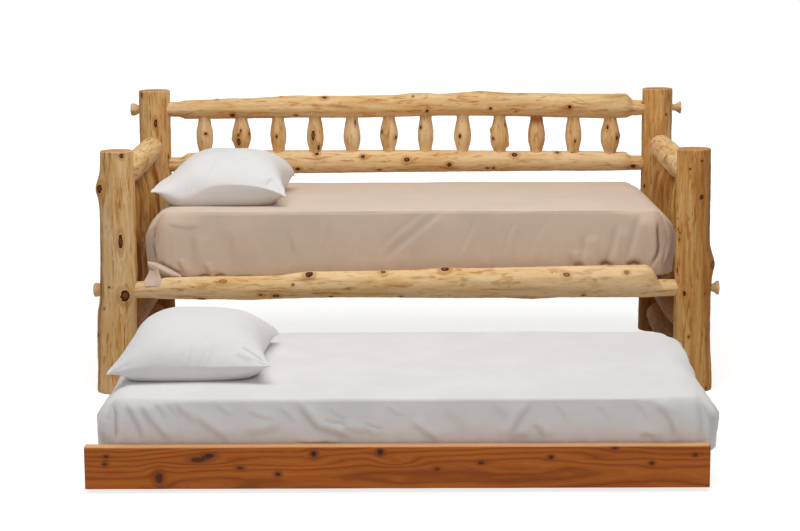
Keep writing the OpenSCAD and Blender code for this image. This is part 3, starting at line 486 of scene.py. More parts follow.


# Logs

# Marks seen on each log. Knots and streaks are (place along it, degrees round it, half length, half width,
# darkness). A streak darkens the wood where its darkness is above 0, with resin, and with painted shade for
# the broad streaks under the bed, and greys it where its darkness is below 0. A bulge is (place, degrees,
# half length, half width, how far it rises). A neck, which is cut down to a tenon, is (where the cut starts,
# where it reaches the tenon, the radius there). All lengths are in mm.
LOG_MARKS = {
    "front_left_post": {
        "knots": [(853, 295, 9, 8, 1), (552, 283, 27, 8, 1), (356, 292, 22, 17, 1), (309, 223, 5, 4, 1),
                  (286, 182, 10, 9, 0.8), (387, 243, 4, 5, 0.8), (738, 219, 17, 12, 1),
                  (209, 200, 8, 7, 0.8)],
        "streaks": [(371, 218, 38, 2.5, 0.9), (322, 296, 34, 5, 0.9), (768, 246, 46, 7, 0.5),
                    (650, 248, 34, 5, 0.35), (120, 270, 70, 6, 0.35), (470, 204, 250, 13, 0.85),
                    (330, 206, 60, 9, 0.4), (820, 232, 26, 10, 0.35), (150, 205, 90, 9, 0.5),
                    (420, 350, 300, 9, 0.5)],
        "bulges": [(742, 200, 32, 32, 9), (552, 283, 60, 26, 2), (356, 292, 45, 40, 4)],
    },
    "front_right_post": {
        "knots": [(702, 286, 10, 8, 1), (589, 185, 4, 4, 0.9), (583, 206, 4, 4, 0.9), (571, 215, 4, 4, 0.9),
                  (547, 212, 4, 4, 0.9), (621, 202, 4, 4, 0.9), (356, 236, 10, 6, 1),
                  (436, 205, 12, 5, 0.9), (354, 306, 4, 4, 0.9), (455, 332, 15, 12, 0.6),
                  (828, 286, 6, 5, 0.9), (800, 246, 5, 5, 0.8), (200, 254, 6, 5, 0.8),
                  (13, 313, 6, 5, 0.8)],
        "streaks": [(631, 265, 52, 4, 1), (300, 250, 60, 6, 0.4), (760, 262, 50, 5, 0.4),
                    (480, 285, 60, 4, 0.35), (560, 330, 330, 20, 0.65), (690, 340, 160, 14, 0.5),
                    (420, 300, 110, 8, 0.5), (770, 290, 70, 6, 0.5), (570, 216, 80, 6, 0.45),
                    (180, 318, 150, 14, 0.5), (540, 250, 40, 5, 0.5), (500, 186, 200, 9, 0.5)],
        "bulges": [(462, 342, 44, 40, 12), (702, 286, 30, 26, 3)],
    },
    "rear_left_post": {
        "knots": [(864, 281, 18, 7, 1), (976, 223, 11, 7, 1), (725, 332, 10, 5, 0.9)],
        # The broad last streak, low on the post, is painted shade under the bed
        "streaks": [(900, 250, 50, 5, 0.4), (880, 320, 70, 9, 0.6), (850, 206, 120, 11, 0.6),
                    (830, 285, 34, 5, 0.9), (140, 280, 270, 160, 0.95)],
    },
    "rear_right_post": {
        "knots": [(599, 216, 8, 7, 1), (891, 298, 6, 5, 0.9)],
        # The broad last streak, low on the post, is painted shade under the bed
        "streaks": [(966, 312, 22, 5, 0.5), (880, 330, 90, 10, 0.5), (860, 230, 90, 6, 0.4),
                    (700, 200, 200, 10, 0.5), (140, 270, 270, 160, 0.95)],
    },
    "back_top_rail": {
        "knots": [(-764, 185, 6, 8, 0.9), (-699, 305, 10, 9, 1), (-502, 182, 6, 7, 0.8),
                  (-329, 205, 12, 9, 1), (-444, 307, 8, 5, 0.9), (86, 279, 7, 7, 1), (29, 207, 5, 6, 0.8),
                  (341, 267, 7, 6, 1), (660, 261, 9, 8, 1), (444, 285, 6, 5, 0.5), (958, 225, 5, 5, 0.8)],
        "streaks": [(-273, 252, 52, 7, 0.7), (392, 227, 64, 5, -0.5), (700, 262, 40, 4, 0.5),
                    (120, 300, 70, 6, 0.35), (860, 225, 50, 18, 0.35), (905, 290, 40, 8, 0.4),
                    (500, 325, 300, 9, 0.5), (-500, 325, 300, 8, 0.5)],
        "necks": [(893, 919, 32), (-896, -922, 31)],
    },
    "back_lower_rail": {
        "knots": [(-363, 213, 10, 10, 1), (-174, 229, 9, 8, 1), (3, 245, 12, 10, 1), (176, 270, 10, 9, 1),
                  (330, 293, 10, 5, 0.9), (355, 293, 7, 7, 0.9), (440, 223, 14, 10, 1),
                  (614, 206, 10, 9, 0.9), (921, 290, 12, 8, 1), (-439, 291, 12, 8, 1),
                  (-108, 300, 12, 5, 0.8)],
        "streaks": [(-600, 260, 60, 5, 0.4), (520, 250, 60, 5, 0.35), (300, 340, 420, 8, 0.6),
                    (-400, 340, 380, 8, 0.6)],
        "necks": [(893, 917, 30.5), (-890, -916, 31)],
    },
    # The broad streaks of the mid and bottom rails are painted shade under the bed
    "left_mid_rail": {
        "streaks": [(-250, 290, 500, 150, 0.55)],
        "knots": [(-380, 285, 9, 7, 1), (-300, 255, 7, 6, 1)],
    },
    "right_mid_rail": {
        "streaks": [(-250, 70, 500, 150, 0.55)],
        "knots": [(-400, 75, 9, 7, 1), (-330, 100, 7, 6, 1)],
    },
    "left_bottom_rail": {"streaks": [(-250, 290, 500, 150, 0.45)]},
    "right_bottom_rail": {"streaks": [(-250, 70, 500, 150, 0.45)]},
    "left_arm_rail": {
        "knots": [(-330, 318, 9, 7, 0.8), (-120, 250, 8, 7, 0.9)],
        "streaks": [(-340, 300, 110, 20, 0.45), (-180, 275, 90, 12, 0.4), (-420, 250, 60, 8, 0.4)],
        "bulges": [(-390, 250, 90, 45, 7), (-260, 310, 60, 35, 6), (-120, 240, 70, 35, 5)],
    },
    "right_arm_rail": {
        "knots": [(-300, 48, 9, 7, 0.8), (-130, 110, 8, 7, 0.9)],
        "streaks": [(-320, 70, 120, 26, 0.5), (-180, 95, 90, 16, 0.45), (-430, 120, 60, 10, 0.45)],
        "bulges": [(-380, 120, 90, 45, 8), (-230, 60, 60, 35, 7), (-90, 130, 70, 35, 6)],
    },
    "front_rail": {
        "knots": [(-729, 333, 16, 9, 0.8), (-345, 197, 14, 15, 1), (-462, 300, 14, 7, 0.9),
                  (-518, 293, 7, 5, 0.8), (-652, 219, 17, 9, 0.4), (-402, 240, 5, 5, 0.8),
                  (-82, 190, 10, 12, 0.9), (138, 194, 16, 14, 1), (568, 220, 12, 10, 0.55),
                  (781, 214, 10, 9, 0.5), (-267, 311, 8, 6, 0.9), (-18, 307, 8, 6, 0.9),
                  (629, 297, 8, 6, 0.9)],
        "streaks": [(-352, 220, 56, 5, 0.75), (-203, 258, 12, 6, 0.7), (39, 223, 26, 7, 0.6),
                    (205, 233, 15, 6, 0.6), (704, 230, 26, 6, 0.6), (833, 223, 30, 6, -0.5),
                    (-560, 240, 90, 5, 0.35), (420, 262, 90, 6, 0.3), (-780, 305, 60, 7, 0.5),
                    (-100, 285, 120, 6, 0.3), (620, 215, 40, 5, 0.5), (-420, 352, 330, 8, 0.75),
                    (380, 352, 380, 8, 0.75), (-40, 345, 120, 5, 0.5)],
    },
    "back_spindle_1": {"knots": [(818, 283, 6, 6, 1)]},
    "back_spindle_2": {
        "knots": [(831, 270, 6, 4, 1), (814, 256, 4, 6, 1), (785, 256, 15, 8, 0.9), (816, 329, 9, 7, 0.8)],
    },
    "back_spindle_3": {"knots": [(806, 261, 8, 5, 1)]},
    "back_spindle_4": {"knots": [(809, 259, 21, 8, 0.9), (758, 301, 12, 6, 1)]},
    "back_spindle_5": {"knots": [(859, 300, 12, 4, 0.8)]},
    "back_spindle_6": {"knots": [(822, 218, 8, 8, 0.8), (801, 321, 8, 8, 0.8)]},
    "back_spindle_7": {"knots": [(840, 227, 8, 6, 1)]},
    "back_spindle_8": {"knots": [(804, 249, 8, 6, 1)]},
    "back_spindle_9": {"knots": [(794, 224, 7, 7, 0.9), (849, 317, 10, 4, 0.9)]},
    "back_spindle_10": {"streaks": [(870, 270, 20, 50, 0.95)]},
    "back_spindle_11": {"knots": [(782, 278, 8, 4, 1), (735, 254, 5, 4, 0.8)]},
    "back_spindle_12": {"knots": [(838, 244, 10, 5, 1), (795, 309, 12, 6, 1)]},
}

# How warm each log is: pale cedar at 0, deep honey at 1 and amber beyond it. The mid and bottom rails under
# the bed, at 1.25, and partly the arm spindles are this warm as painted shade
LOG_WARMTH_AND_SHADE = {
    "front_left_post": 0.48, "front_right_post": 0.98, "rear_left_post": 0.6, "rear_right_post": 0.78,
    "back_top_rail": 0.32, "back_lower_rail": 0.18, "front_rail": 0.22, "rear_rail": 0.4,
    "left_arm_rail": 0.3, "right_arm_rail": 0.42, "left_mid_rail": 1.25, "right_mid_rail": 1.25,
    "left_bottom_rail": 1.25, "right_bottom_rail": 1.25, "left_arm_spindle_1": 0.75,
    "left_arm_spindle_2": 0.95, "left_arm_spindle_3": 0.85, "left_arm_spindle_4": 0.95,
    "right_arm_spindle_1": 0.75, "right_arm_spindle_2": 0.95, "left_arm_spindle_5": 0.9,
    "right_arm_spindle_3": 0.9, "right_arm_spindle_4": 0.9, "right_arm_spindle_5": 0.8,
    "back_spindle_1": 0.25, "back_spindle_2": 0.5, "back_spindle_3": 0.3, "back_spindle_4": 0.45,
    "back_spindle_5": 0.3, "back_spindle_6": 0.2, "back_spindle_7": 0.25, "back_spindle_8": 0.2,
    "back_spindle_9": 0.35, "back_spindle_10": 0.45, "back_spindle_11": 0.3, "back_spindle_12": 0.35,
}


class Log:
    """A log's nominal line. Degrees round it count from its zero side towards its quarter side."""

    def __init__(self, node, origin, along, zero, quarter, tenons, unseen, spacing, cells, sawn=False):
        self.node = node
        self.origin, self.along, self.zero, self.quarter = np.array([origin, along, zero, quarter], float)
        # Other logs' tenons in it: (place, degrees round it, radius of the hidden patch)
        self.tenons = tenons
        # The degrees between which the photo shows nothing of it
        self.unseen = unseen
        self.spacing = spacing
        self.cells = cells
        self.sawn = sawn

    def ends(self):
        reach = [float(np.dot(np.array(corner) - self.origin, self.along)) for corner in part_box(self.node)]
        return min(reach), max(reach)

    def outward(self, turn):
        return np.cos(turn)[..., None] * self.zero + np.sin(turn)[..., None] * self.quarter


def upright(node, x, y, tenons=(), unseen=(10, 170), spacing=0.0045, cells=84, sawn=False):
    return Log(node, (x, y, 0), (0, 0, 1), (1, 0, 0), (0, 1, 0), tenons, unseen, spacing, cells, sawn)


def crosswise(node, y, z, tenons=(), unseen=(20, 150)):
    return Log(node, (0, y, z), (1, 0, 0), (0, 0, -1), (0, 1, 0), tenons, unseen, 0.004, 84)


def lengthwise(node, x, z, tenons=(), unseen=(0, 360)):
    return Log(node, (x, MIDDLE_Y, z), (0, 1, 0), (0, 0, -1), (-1, 0, 0), tenons, unseen, 0.005, 72)


# How far out a ray starts on its way to a log's line, which is more than any log's radius
RAY_START = 0.16
# The eased rim of a sawn end, and the shares of its radius at which it has rings of points
END_RIM = 0.0007
END_RINGS = (0.990, 0.975, 0.93, 0.8, 0.62, 0.42, 0.2, 0.06)
# Beyond this place the shoulders of the front rail are sawn, so nothing rounds them
FRONT_SHOULDER = 0.845
# The knot value of a place with no knot near it
NO_KNOT = (5.0, 5.0, 0.0)


class LogSkin:
    """The surface of a log, as radii on a grid of places along it and turns round it."""

    def __init__(self, log):
        self.log = log
        self.rng = np.random.default_rng(sum(ord(letter) * (k + 1) for k, letter in enumerate(log.node)))
        self.marks = {"knots": [], "streaks": [], "bulges": [], "necks": [], **LOG_MARKS.get(log.node, {})}
        self.low, self.high = log.ends()
        count = max(int(round((self.high - self.low) / log.spacing)), 8)
        self.station = np.linspace(self.low, self.high, count + 1)
        if log.sawn:
            rim = (self.low + END_RIM, self.high - 0.003, self.high - 0.0015, self.high - END_RIM)
            self.station = np.sort(np.r_[self.station, rim])
        turn = np.arange(log.cells) * FULL_TURN / log.cells
        self.s, self.t = np.meshgrid(self.station, turn, indexing="ij")
        self.radius = self.read_radii(log.outward(turn))
        self.shape_ends()
        self.growth = softened(self.radius, 0.045 / log.spacing, log.cells / 14)

    def read_radii(self, outward):
        """Radii read from the solid, and drawn smoothly across where another log goes in."""
        log, tree = self.log, hit_tree(self.log.node)
        radius = np.full(self.s.shape, np.nan)
        for i, s in enumerate(np.clip(self.station, self.low + 0.0006, self.high - 0.0006)):
            centre = log.origin + s * log.along
            for j, way in enumerate(outward):
                distance = tree.ray_cast(Vector(centre + way * RAY_START), Vector(-way), RAY_START)[3]
                if distance is not None:
                    radius[i, j] = RAY_START - distance
        self.typical = float(np.nanmedian(radius))
        hidden = np.isnan(radius)
        for place, degrees, reach in log.tenons:
            swing = swing_from(self.t, math.radians(degrees))
            chord = self.typical * np.sin(np.clip(swing, -math.pi / 2, math.pi / 2))
            hidden |= (np.hypot(chord, self.s - place) < reach) & (np.abs(swing) < 1.5)
        return filled(radius, hidden)

    def shape_ends(self):
        """Softens the facets of the solid, and keeps its sawn shoulders and ends crisp."""
        log, station, read = self.log, self.station, self.radius
        radius = softened(read, 0.0035 / log.spacing, 1.3)
        if log.node == "front_rail":
            radius = np.where((np.abs(station) > FRONT_SHOULDER)[:, None], read, radius)
        for first, last, neck in self.marks["necks"]:
            share = (station * np.sign(first) - abs(first) * MM) / (abs(last - first) * MM)
            share = np.clip(share, 0, 1)[:, None]
            radius = radius * (1 - share) + np.minimum(neck * MM, radius) * share
        if log.sawn:
            # The top keeps its full width up to a narrow eased edge
            sound = int(np.searchsorted(station, self.high - 0.016))
            ease = 1 - 0.035 * np.clip((station[sound:] - self.high + 0.003) / 0.003, 0, 1) ** 2
            radius[sound:] = radius[sound] * ease[:, None]
        self.radius = radius

    def cut_flats(self, look):
        """Drawknife flats, which wander slowly round the log."""
        rng, station = self.rng, self.station
        mean = softened(self.radius, 0.02 / self.log.spacing, 40)
        flats = max(int(round(look.flat_count * (self.typical / 0.06) ** 0.5)), 7)
        cut = np.ones_like(self.radius)
        for k in range(flats):
            middle = FULL_TURN * (k + rng.uniform(-0.28, 0.28)) / flats + 0.10 * slow_wave(rng, station, 0.35)
            depth = look.flat_depth * (0.75 + 0.75 * slow_wave(rng, station, 0.22)).clip(0.05, 2.2)
            swing = swing_from(self.t, middle[:, None])
            flat = (1 - depth[:, None] / np.maximum(mean, 0.02)) / np.cos(np.clip(swing, -1.1, 1.1))
            cut = np.minimum(cut, flat)
        self.radius = self.radius * cut + 0.00035 * slow_wave(rng, self.s + self.t * 0.02, 0.05)

    def seen_from(self, mark, drift=0.0):
        """Each point's swing from a mark, and its place round and along the log in the mark's half sizes."""
        place, degrees, long, wide = mark[:4]
        swing = swing_from(self.t, math.radians(degrees))
        return swing, (swing * self.radius + drift) / (wide * MM), (self.s - place * MM) / (long * MM)

    def unseen_knots(self):
        """Knots on the side that the photo doesn't show."""
        rng, low, high = self.rng, self.low, self.high
        knots = []
        for _ in range(int(round((high - low) * 6 * self.typical / 0.05)) + 1):
            wide = rng.uniform(4, 10)
            place = rng.uniform(low + 0.07, high - 0.07) if high - low > 0.3 else rng.uniform(0.76, 0.86)
            degrees = rng.uniform(*self.log.unseen)
            knots.append((place / MM, degrees, wide * rng.uniform(1, 1.4), wide, rng.uniform(0.7, 1)))
        return knots

    def grow_marks(self):
        """Knots with the fibres parted round them, then bulges, then streaks of resin and broad streaks of
        painted shade.
        """
        rng, shape = self.rng, self.radius.shape
        self.knot = np.tile(NO_KNOT, (*shape, 1))
        self.fibre_turn = self.t.copy()
        self.rise, self.swirl, self.stain = np.zeros(shape), np.zeros(shape), np.zeros(shape)
        nearest = np.full(shape, 25.0)
        for mark in self.marks["knots"] + self.unseen_knots():
            wide, dark = mark[3:]
            swing, u, v = self.seen_from(mark)
            far = u * u + v * v
            ring = np.exp(-((np.sqrt(far) - 1.1) / 0.35) ** 2)
            self.rise += 0.0009 * min(wide / 8, 1.6) * (np.exp(-far / 3.0) + 0.6 * ring)
            self.swirl += 0.003 * np.exp(-far / 7.0)
            self.fibre_turn -= swing * 0.95 * np.exp(-(u * u) / 5.0 - (v * v) / 9.0)
            closer = far < nearest
            nearest = np.where(closer, far, nearest)
            self.knot[closer] = np.stack([u, v, np.full_like(u, dark)], -1)[closer]
        self.knot[..., 2] *= np.clip((9.0 - nearest) / 5.0, 0, 1)
        bulges, streaks = list(self.marks["bulges"]), list(self.marks["streaks"])
        if "arm_spindle" in self.log.node:
            # Gnarled spindles, whose streaks lie mostly on the side that faces the bed
            inward = 0 if self.log.origin[0] < 0 else 180
            ranges = ((300, 700), (0, 360), (22, 40), (16, 28), (3, 9))
            bulges += [[rng.uniform(*ends) for ends in ranges] for _ in range(5)]
            for _ in range(14):
                degrees = rng.normal(inward, 70)
                ranges = ((300, 740), (25, 80), (5, 14), (0.5, 1))
                place, long, wide, strength = (rng.uniform(*ends) for ends in ranges)
                streaks.append((place, degrees, long, wide, strength))
        for mark in bulges:
            _, u, v = self.seen_from(mark)
            self.rise += mark[4] * MM * np.exp(-(u * u + v * v))
        for mark in streaks:
            _, u, v = self.seen_from(mark, 0.0025 * slow_wave(rng, self.s, 0.09))
            self.stain += mark[4] * np.exp(-(u * u + v * v) ** 1.2)
        self.radius = self.radius + self.rise

    def body(self):
        """Points, faces and material values of the skin between the log's ends."""
        log, rng, shape = self.log, self.rng, self.radius.shape
        points = log.origin + self.s[..., None] * log.along + self.radius[..., None] * log.outward(self.t)
        wander = 0.0022 * slow_wave(rng, self.s, 0.5) * np.cos(self.t + rng.uniform(0, 6))
        layer = self.growth - self.radius + self.swirl + wander
        round_it = [self.typical * np.cos(self.fibre_turn), self.typical * np.sin(self.fibre_turn)]
        grain = np.stack([*round_it, self.s], -1).reshape(-1, 3)
        grain[:, 2] += rng.uniform(0, 40)
        index = np.arange(shape[0] * shape[1]).reshape(shape)
        values = {"grain": grain, "layer": layer.ravel(), "stain": self.stain.ravel()}
        values["knot"] = self.knot.reshape(-1, 3)
        return points.reshape(-1, 3), tube_faces(index), values, index

    def end_rings(self, top, rim):
        """Rings of points from a rim to the middle of an end, and the material values of each."""
        log = self.log
        centre = rim.mean(0)
        pith = np.array([0.06, -0.04]) * self.typical
        step = log.along * (END_RIM if top else -END_RIM) * log.sawn
        place = np.full(log.cells, self.station[-1] if top else self.station[0])
        for share in END_RINGS if log.sawn else (0.6,):
            circle = centre + (rim - centre) * share + step
            flat = (circle - centre) @ np.stack([log.zero, log.quarter], 1)
            yield circle, {
                "grain": np.column_stack([flat, place]),
                "layer": self.typical - np.hypot(*(flat - pith).T),
                "knot": np.tile(NO_KNOT, (log.cells, 1)),
                "stain": np.full(log.cells, 0.0 if share > 0.95 else 0.55),
            }


def build_log(log, look):
    """Reads the log's radii from its solid and dresses them with drawknife flats, knots and grain."""
    skin = LogSkin(log)
    skin.cut_flats(look)
    skin.grow_marks()
    points, faces, values, index = skin.body()
    all_points, all_values = [points], [values]
    total = len(points)
    for top, row in ((False, index[0]), (True, index[-1])):
        for circle, ring_values in skin.end_rings(top, points[row]):
            new = np.arange(total, total + log.cells)
            beside, new_beside = np.roll(row, -1), np.roll(new, -1)
            quads = (row, beside, new_beside, new) if top else (row, new, new_beside, beside)
            faces += np.stack(quads, -1).tolist()
            all_points.append(circle)
            all_values.append(ring_values)
            row = new
            total += log.cells
        faces.append(list(row) if top else list(row[::-1]))
    joined = {name: np.concatenate([held[name] for held in all_values]) for name in values}
    tone = np.full(total, LOG_WARMTH_AND_SHADE[log.node])
    new_piece("peeled_" + log.node, np.vstack(all_points), faces, cedar(), "daybed", "cedar_log", [log.node],
              tone=tone, **joined)


# Settings


def colour_setting(name, text, value):
    return FloatVectorProperty(name=name, description=text, default=value, subtype="COLOR", min=0, max=1)


def number_setting(name, text, value, **limits):
    return FloatProperty(name=name, description=text, default=value, **limits)


def length_setting(name, text, value, least, most):
    return number_setting(name, text, value, min=least, max=most, unit="LENGTH", precision=4)


class DaybedWoodSettings(bpy.types.PropertyGroup):
    """Colours and tool marks of the wood"""

    pale: colour_setting("Pale wood", "Freshly peeled cedar", (0.82, 0.60, 0.335))
    honey: colour_setting("Honey wood", "Warmer cedar in broad clouds", (0.68, 0.39, 0.135))
    amber: colour_setting("Amber wood", "Inner bark, late wood and knot halos", (0.46, 0.18, 0.035))
    resin: colour_setting("Resin streak", "Resin that has darkened", (0.27, 0.085, 0.014))
    weathered: colour_setting("Weathered streak", "Greyed wood", (0.45, 0.36, 0.27))
    knot: colour_setting("Knot", "The dark rim of a knot", (0.036, 0.013, 0.006))
    knot_eye: colour_setting("Knot eye", "The inside of a knot", (0.21, 0.072, 0.026))
    board: colour_setting("Board", "Sawn face of the front board", (0.53, 0.135, 0.012))
    board_dark: colour_setting("Board shade", "Darker clouds of the front board", (0.40, 0.092, 0.008))
    board_light: colour_setting("Board light", "Lighter fibres of the front board", (0.66, 0.23, 0.045))
    board_ring: colour_setting("Board ring", "Dark rings of the front board", (0.20, 0.045, 0.010))
    # Paler sapwood of the upper edge, which also carries its painted highlight
    board_edge: colour_setting("Board edge", "Upper edge of the front board", (0.93, 0.58, 0.29))
    pine: colour_setting("Pine", "Sawn pine of the hidden boards", (0.74, 0.56, 0.34))
    pine_warm: colour_setting("Warm pine", "Warmer pine of the hidden boards", (0.66, 0.45, 0.24))
    pine_ring: colour_setting("Pine ring", "Rings of the pine", (0.46, 0.26, 0.11))
    ring_width: length_setting("Ring width", "Depth of one year's growth", 0.0019, 0.0008, 0.01)
    flat_depth: length_setting("Flat depth", "How deep the drawknife's flats go", 0.0011, 0, 0.004)
    flat_count: IntProperty(name="Flats", description="Drawknife flats round a post", default=13,
                            min=6, max=24)


class DaybedClothSettings(bpy.types.PropertyGroup):
    """Colours and folds of the sheets and pillows"""

    tan: colour_setting("Tan sheet", "Sheet of the daybed mattress", (0.70, 0.545, 0.425))
    white: colour_setting("White sheet", "Sheet of the trundle mattress", (0.795, 0.775, 0.765))
    cotton: colour_setting("Pillow cotton", "Cover of both pillows", (0.775, 0.755, 0.742))
    thread: length_setting("Thread", "Width of two threads of the weave", 0.0011, 0.0004, 0.01)
    crumple: number_setting("Crumple", "How crumpled the cloth looks", 0.22, min=0, max=1)
    fold: number_setting("Fold height", "Share of the folds' full height", 1.0, min=0, max=2)


class DaybedStageSettings(bpy.types.PropertyGroup):
    """Camera, lamps and floor"""

    place: FloatVectorProperty(name="Camera place", description="Where the camera stands",
                               default=(0.007764, -6.857926, 1.638687), subtype="TRANSLATION", unit="LENGTH")
    lens: number_setting("Lens", "Focal length for a sensor 36 mm wide", 89.093, min=10)
    tilt: number_setting("Tilt", "How far the camera looks down", 0.16921, subtype="ANGLE")
    roll: number_setting("Roll", "How far the camera leans", 0.00434, subtype="ANGLE")
    yaw: number_setting("Yaw", "How far the camera turns left", 0.00424, subtype="ANGLE")
    sky: number_setting("Room light", "Light from all round", 0.26, min=0)
    key: number_setting("Key lamp", "Power of the soft lamp overhead", 136, unit="POWER")
    fill: number_setting("Front lamp", "Power of the soft lamp in front", 34, unit="POWER")
    floor_glow: number_setting("Floor glow", "How much the floor is lifted to white", 0.78)


# Stage


class DAYBED_OT_stage(bpy.types.Operator):
    """Set the camera, the lamps, the floor and the white room"""

    bl_idname = "daybed.stage"
    bl_label = "Stage"

    def execute(self, context):
        stage = looks()[2]
        self.camera(context, stage)
        self.lamp(context, "overhead_lamp", (0.0, -0.7, 4.2), (0, -0.1, 0.3), (4.2, 2.8), stage.key)
        self.lamp(context, "front_lamp", (-0.6, -5.6, 2.5), (0, 0, 0.5), (5.0, 2.4), stage.fill)
        self.room(context, stage)
        self.floor(context, stage)
        context.scene.view_settings.view_transform = "Standard"
        return {"FINISHED"}

    def camera(self, context, stage):
        spin = Matrix.Rotation(stage.yaw, 3, "Z")
        right = spin @ Vector((1, 0, 0))
        ahead = spin @ Vector((0, math.cos(stage.tilt), -math.sin(stage.tilt)))
        up = spin @ Vector((0, math.sin(stage.tilt), math.cos(stage.tilt)))
        level, lean = math.cos(stage.roll), math.sin(stage.roll)
        axes = Matrix((level * right - lean * up, lean * right + level * up, -ahead))
        lens = bpy.data.cameras.new("photo_view")
        lens.lens = stage.lens
        lens.sensor_width = 36
        camera = bpy.data.objects.new("photo_view", lens)
        camera.matrix_world = axes.transposed().to_4x4()
        camera.location = stage.place
        context.scene.collection.objects.link(camera)
        context.scene.camera = camera

    def lamp(self, context, name, place, target, size, power):
        light = bpy.data.lights.new(name, "AREA")
        light.shape = "RECTANGLE"
        light.size, light.size_y = size
        light.energy = power
        lamp = bpy.data.objects.new(name, light)
        lamp.location = place
        lamp.rotation_euler = (Vector(target) - Vector(place)).to_track_quat("-Z", "Y").to_euler()
        lamp.visible_camera = False
        context.scene.collection.objects.link(lamp)

    def room(self, context, stage):
        """White to the camera, a plain pale grey to the object."""
        f = Finish("white_room", "worlds")
        level = f.node("MapRange", values={"Value": f.seen_plainly(), "To Min": stage.sky, "To Max": 1.0})
        glow = f.node("Background", values={"Color": (1, 1, 1, 1), "Strength": level})
        context.scene.world = f.shown(glow, "OutputWorld")

    def floor(self, context, stage):
        """Plain and pale. To the camera it glows up to white and keeps the object's shadow."""
        f = Finish("pale_floor")
        seen = f.seen_plainly()
        colour = f.blend(f.noise(f.place(), 3.0, 2.0), [0.76] * 3, [0.80] * 3)
        matt = f.node("BsdfDiffuse", values={"Color": f.blend(seen, colour, [0.42] * 3)})
        far = f.length(f.place()).rise(1.7, 3.4)
        strength = seen * (far * 0.35 + stage.floor_glow)
        glow = f.node("Emission", values={"Color": (1, 1, 1, 1), "Strength": strength})
        side = 14.0
        corners = [(-side, -side, 0), (side, -side, 0), (side, side, 0), (-side, side, 0)]
        mesh = bpy.data.meshes.new("pale_floor")
        mesh.from_pydata(corners, [], [(0, 1, 2, 3)])
        mesh.materials.append(f.shown(f.node("AddShader", values={0: matt, 1: glow})))
        floor = bpy.data.objects.new("pale_floor", mesh)
        context.scene.collection.objects.link(floor)


# Posts, rails and spindles

# Radii of the patches that a rail's or a bolt's hole hides on a post
POST_SOCKET, RAIL_SOCKET, BOLT_SOCKET = 0.037, 0.032, 0.016
SIDES = ((-1, "left"), (1, "right"))


def post_sockets(side, rear):
    """The tenon and bolt holes of a post, which the dressed post hides."""
    inner = 0 if side < 0 else 180
    heights = [SIDE_Z, BACK_LOWER_Z, BACK_TOP_Z] if rear else [SIDE_Z]
    bolts = [SIDE_Z, BACK_TOP_Z] if rear else [SIDE_Z]
    holes = [(z, inner, POST_SOCKET) for z in heights]
    holes += [(z, 270 if rear else 90, RAIL_SOCKET) for z in (ARM_Z, MID_Z, BOTTOM_Z)]
    return holes + [(z, inner + 180, BOLT_SOCKET) for z in bolts]


def spindle_places(count, pitch, shift=0.0):
    return [shift + (i - (count - 1) / 2) * pitch for i in range(count)]


BACK_SPINDLES = spindle_places(12, 0.149727, 0.006)
ARM_SPINDLES = spindle_places(5, 0.182)


class DAYBED_OT_posts(bpy.types.Operator):
    """Peel the four corner posts"""

    bl_idname = "daybed.posts"
    bl_label = "Posts"

    def execute(self, context):
        for side, name in SIDES:
            for row, y in (("front", FRONT_LOG_Y), ("rear", REAR_LOG_Y)):
                sockets = post_sockets(side, row == "rear")
                build_log(upright(f"{row}_{name}_post", side * POST_X, y, sockets, sawn=True), looks()[0])
        return {"FINISHED"}


class DAYBED_OT_rails(bpy.types.Operator):
    """Peel the side rails, the back rails and the rails of both ends"""

    bl_idname = "daybed.rails"
    bl_label = "Rails"

    def execute(self, context):
        logs = [
            crosswise("front_rail", FRONT_LOG_Y, SIDE_Z),
            crosswise("rear_rail", REAR_LOG_Y, SIDE_Z, unseen=(0, 360)),
            crosswise("back_top_rail", REAR_LOG_Y, BACK_TOP_Z, [(x, 0, 0.031) for x in BACK_SPINDLES]),
            crosswise("back_lower_rail", REAR_LOG_Y, BACK_LOWER_Z, [(x, 180, 0.031) for x in BACK_SPINDLES]),
        ]
        for side, name in SIDES:
            logs += [
                lengthwise(name + "_arm_rail", side * POST_X, ARM_Z, [(y, 0, 0.027) for y in ARM_SPINDLES]),
                lengthwise(name + "_mid_rail", side * POST_X, MID_Z, [(y, 180, 0.027) for y in ARM_SPINDLES]),
                lengthwise(name + "_bottom_rail", side * POST_X, BOTTOM_Z),
            ]
        for log in logs:
            build_log(log, looks()[0])
        return {"FINISHED"}


class DAYBED_OT_spindles(bpy.types.Operator):
    """Peel the bulged spindles of the back and of both ends"""

    bl_idname = "daybed.spindles"
    bl_label = "Spindles"

    def execute(self, context):
        logs = []
        for i, x in enumerate(BACK_SPINDLES, 1):
            logs.append(upright(f"back_spindle_{i}", x, REAR_LOG_Y, (), (20, 160), 0.0035, 60))
        for side, name in SIDES:
            for i, y in enumerate(ARM_SPINDLES, 1):
                node = f"{name}_arm_spindle_{i}"
                logs.append(upright(node, side * POST_X, MIDDLE_Y + y, (), (0, 360), 0.005, 60))
        for log in logs:
            build_log(log, looks()[0])
        return {"FINISHED"}


# Knobs, boards and casters

KNOB_CELLS = 48
KNOB_FLATS = 9


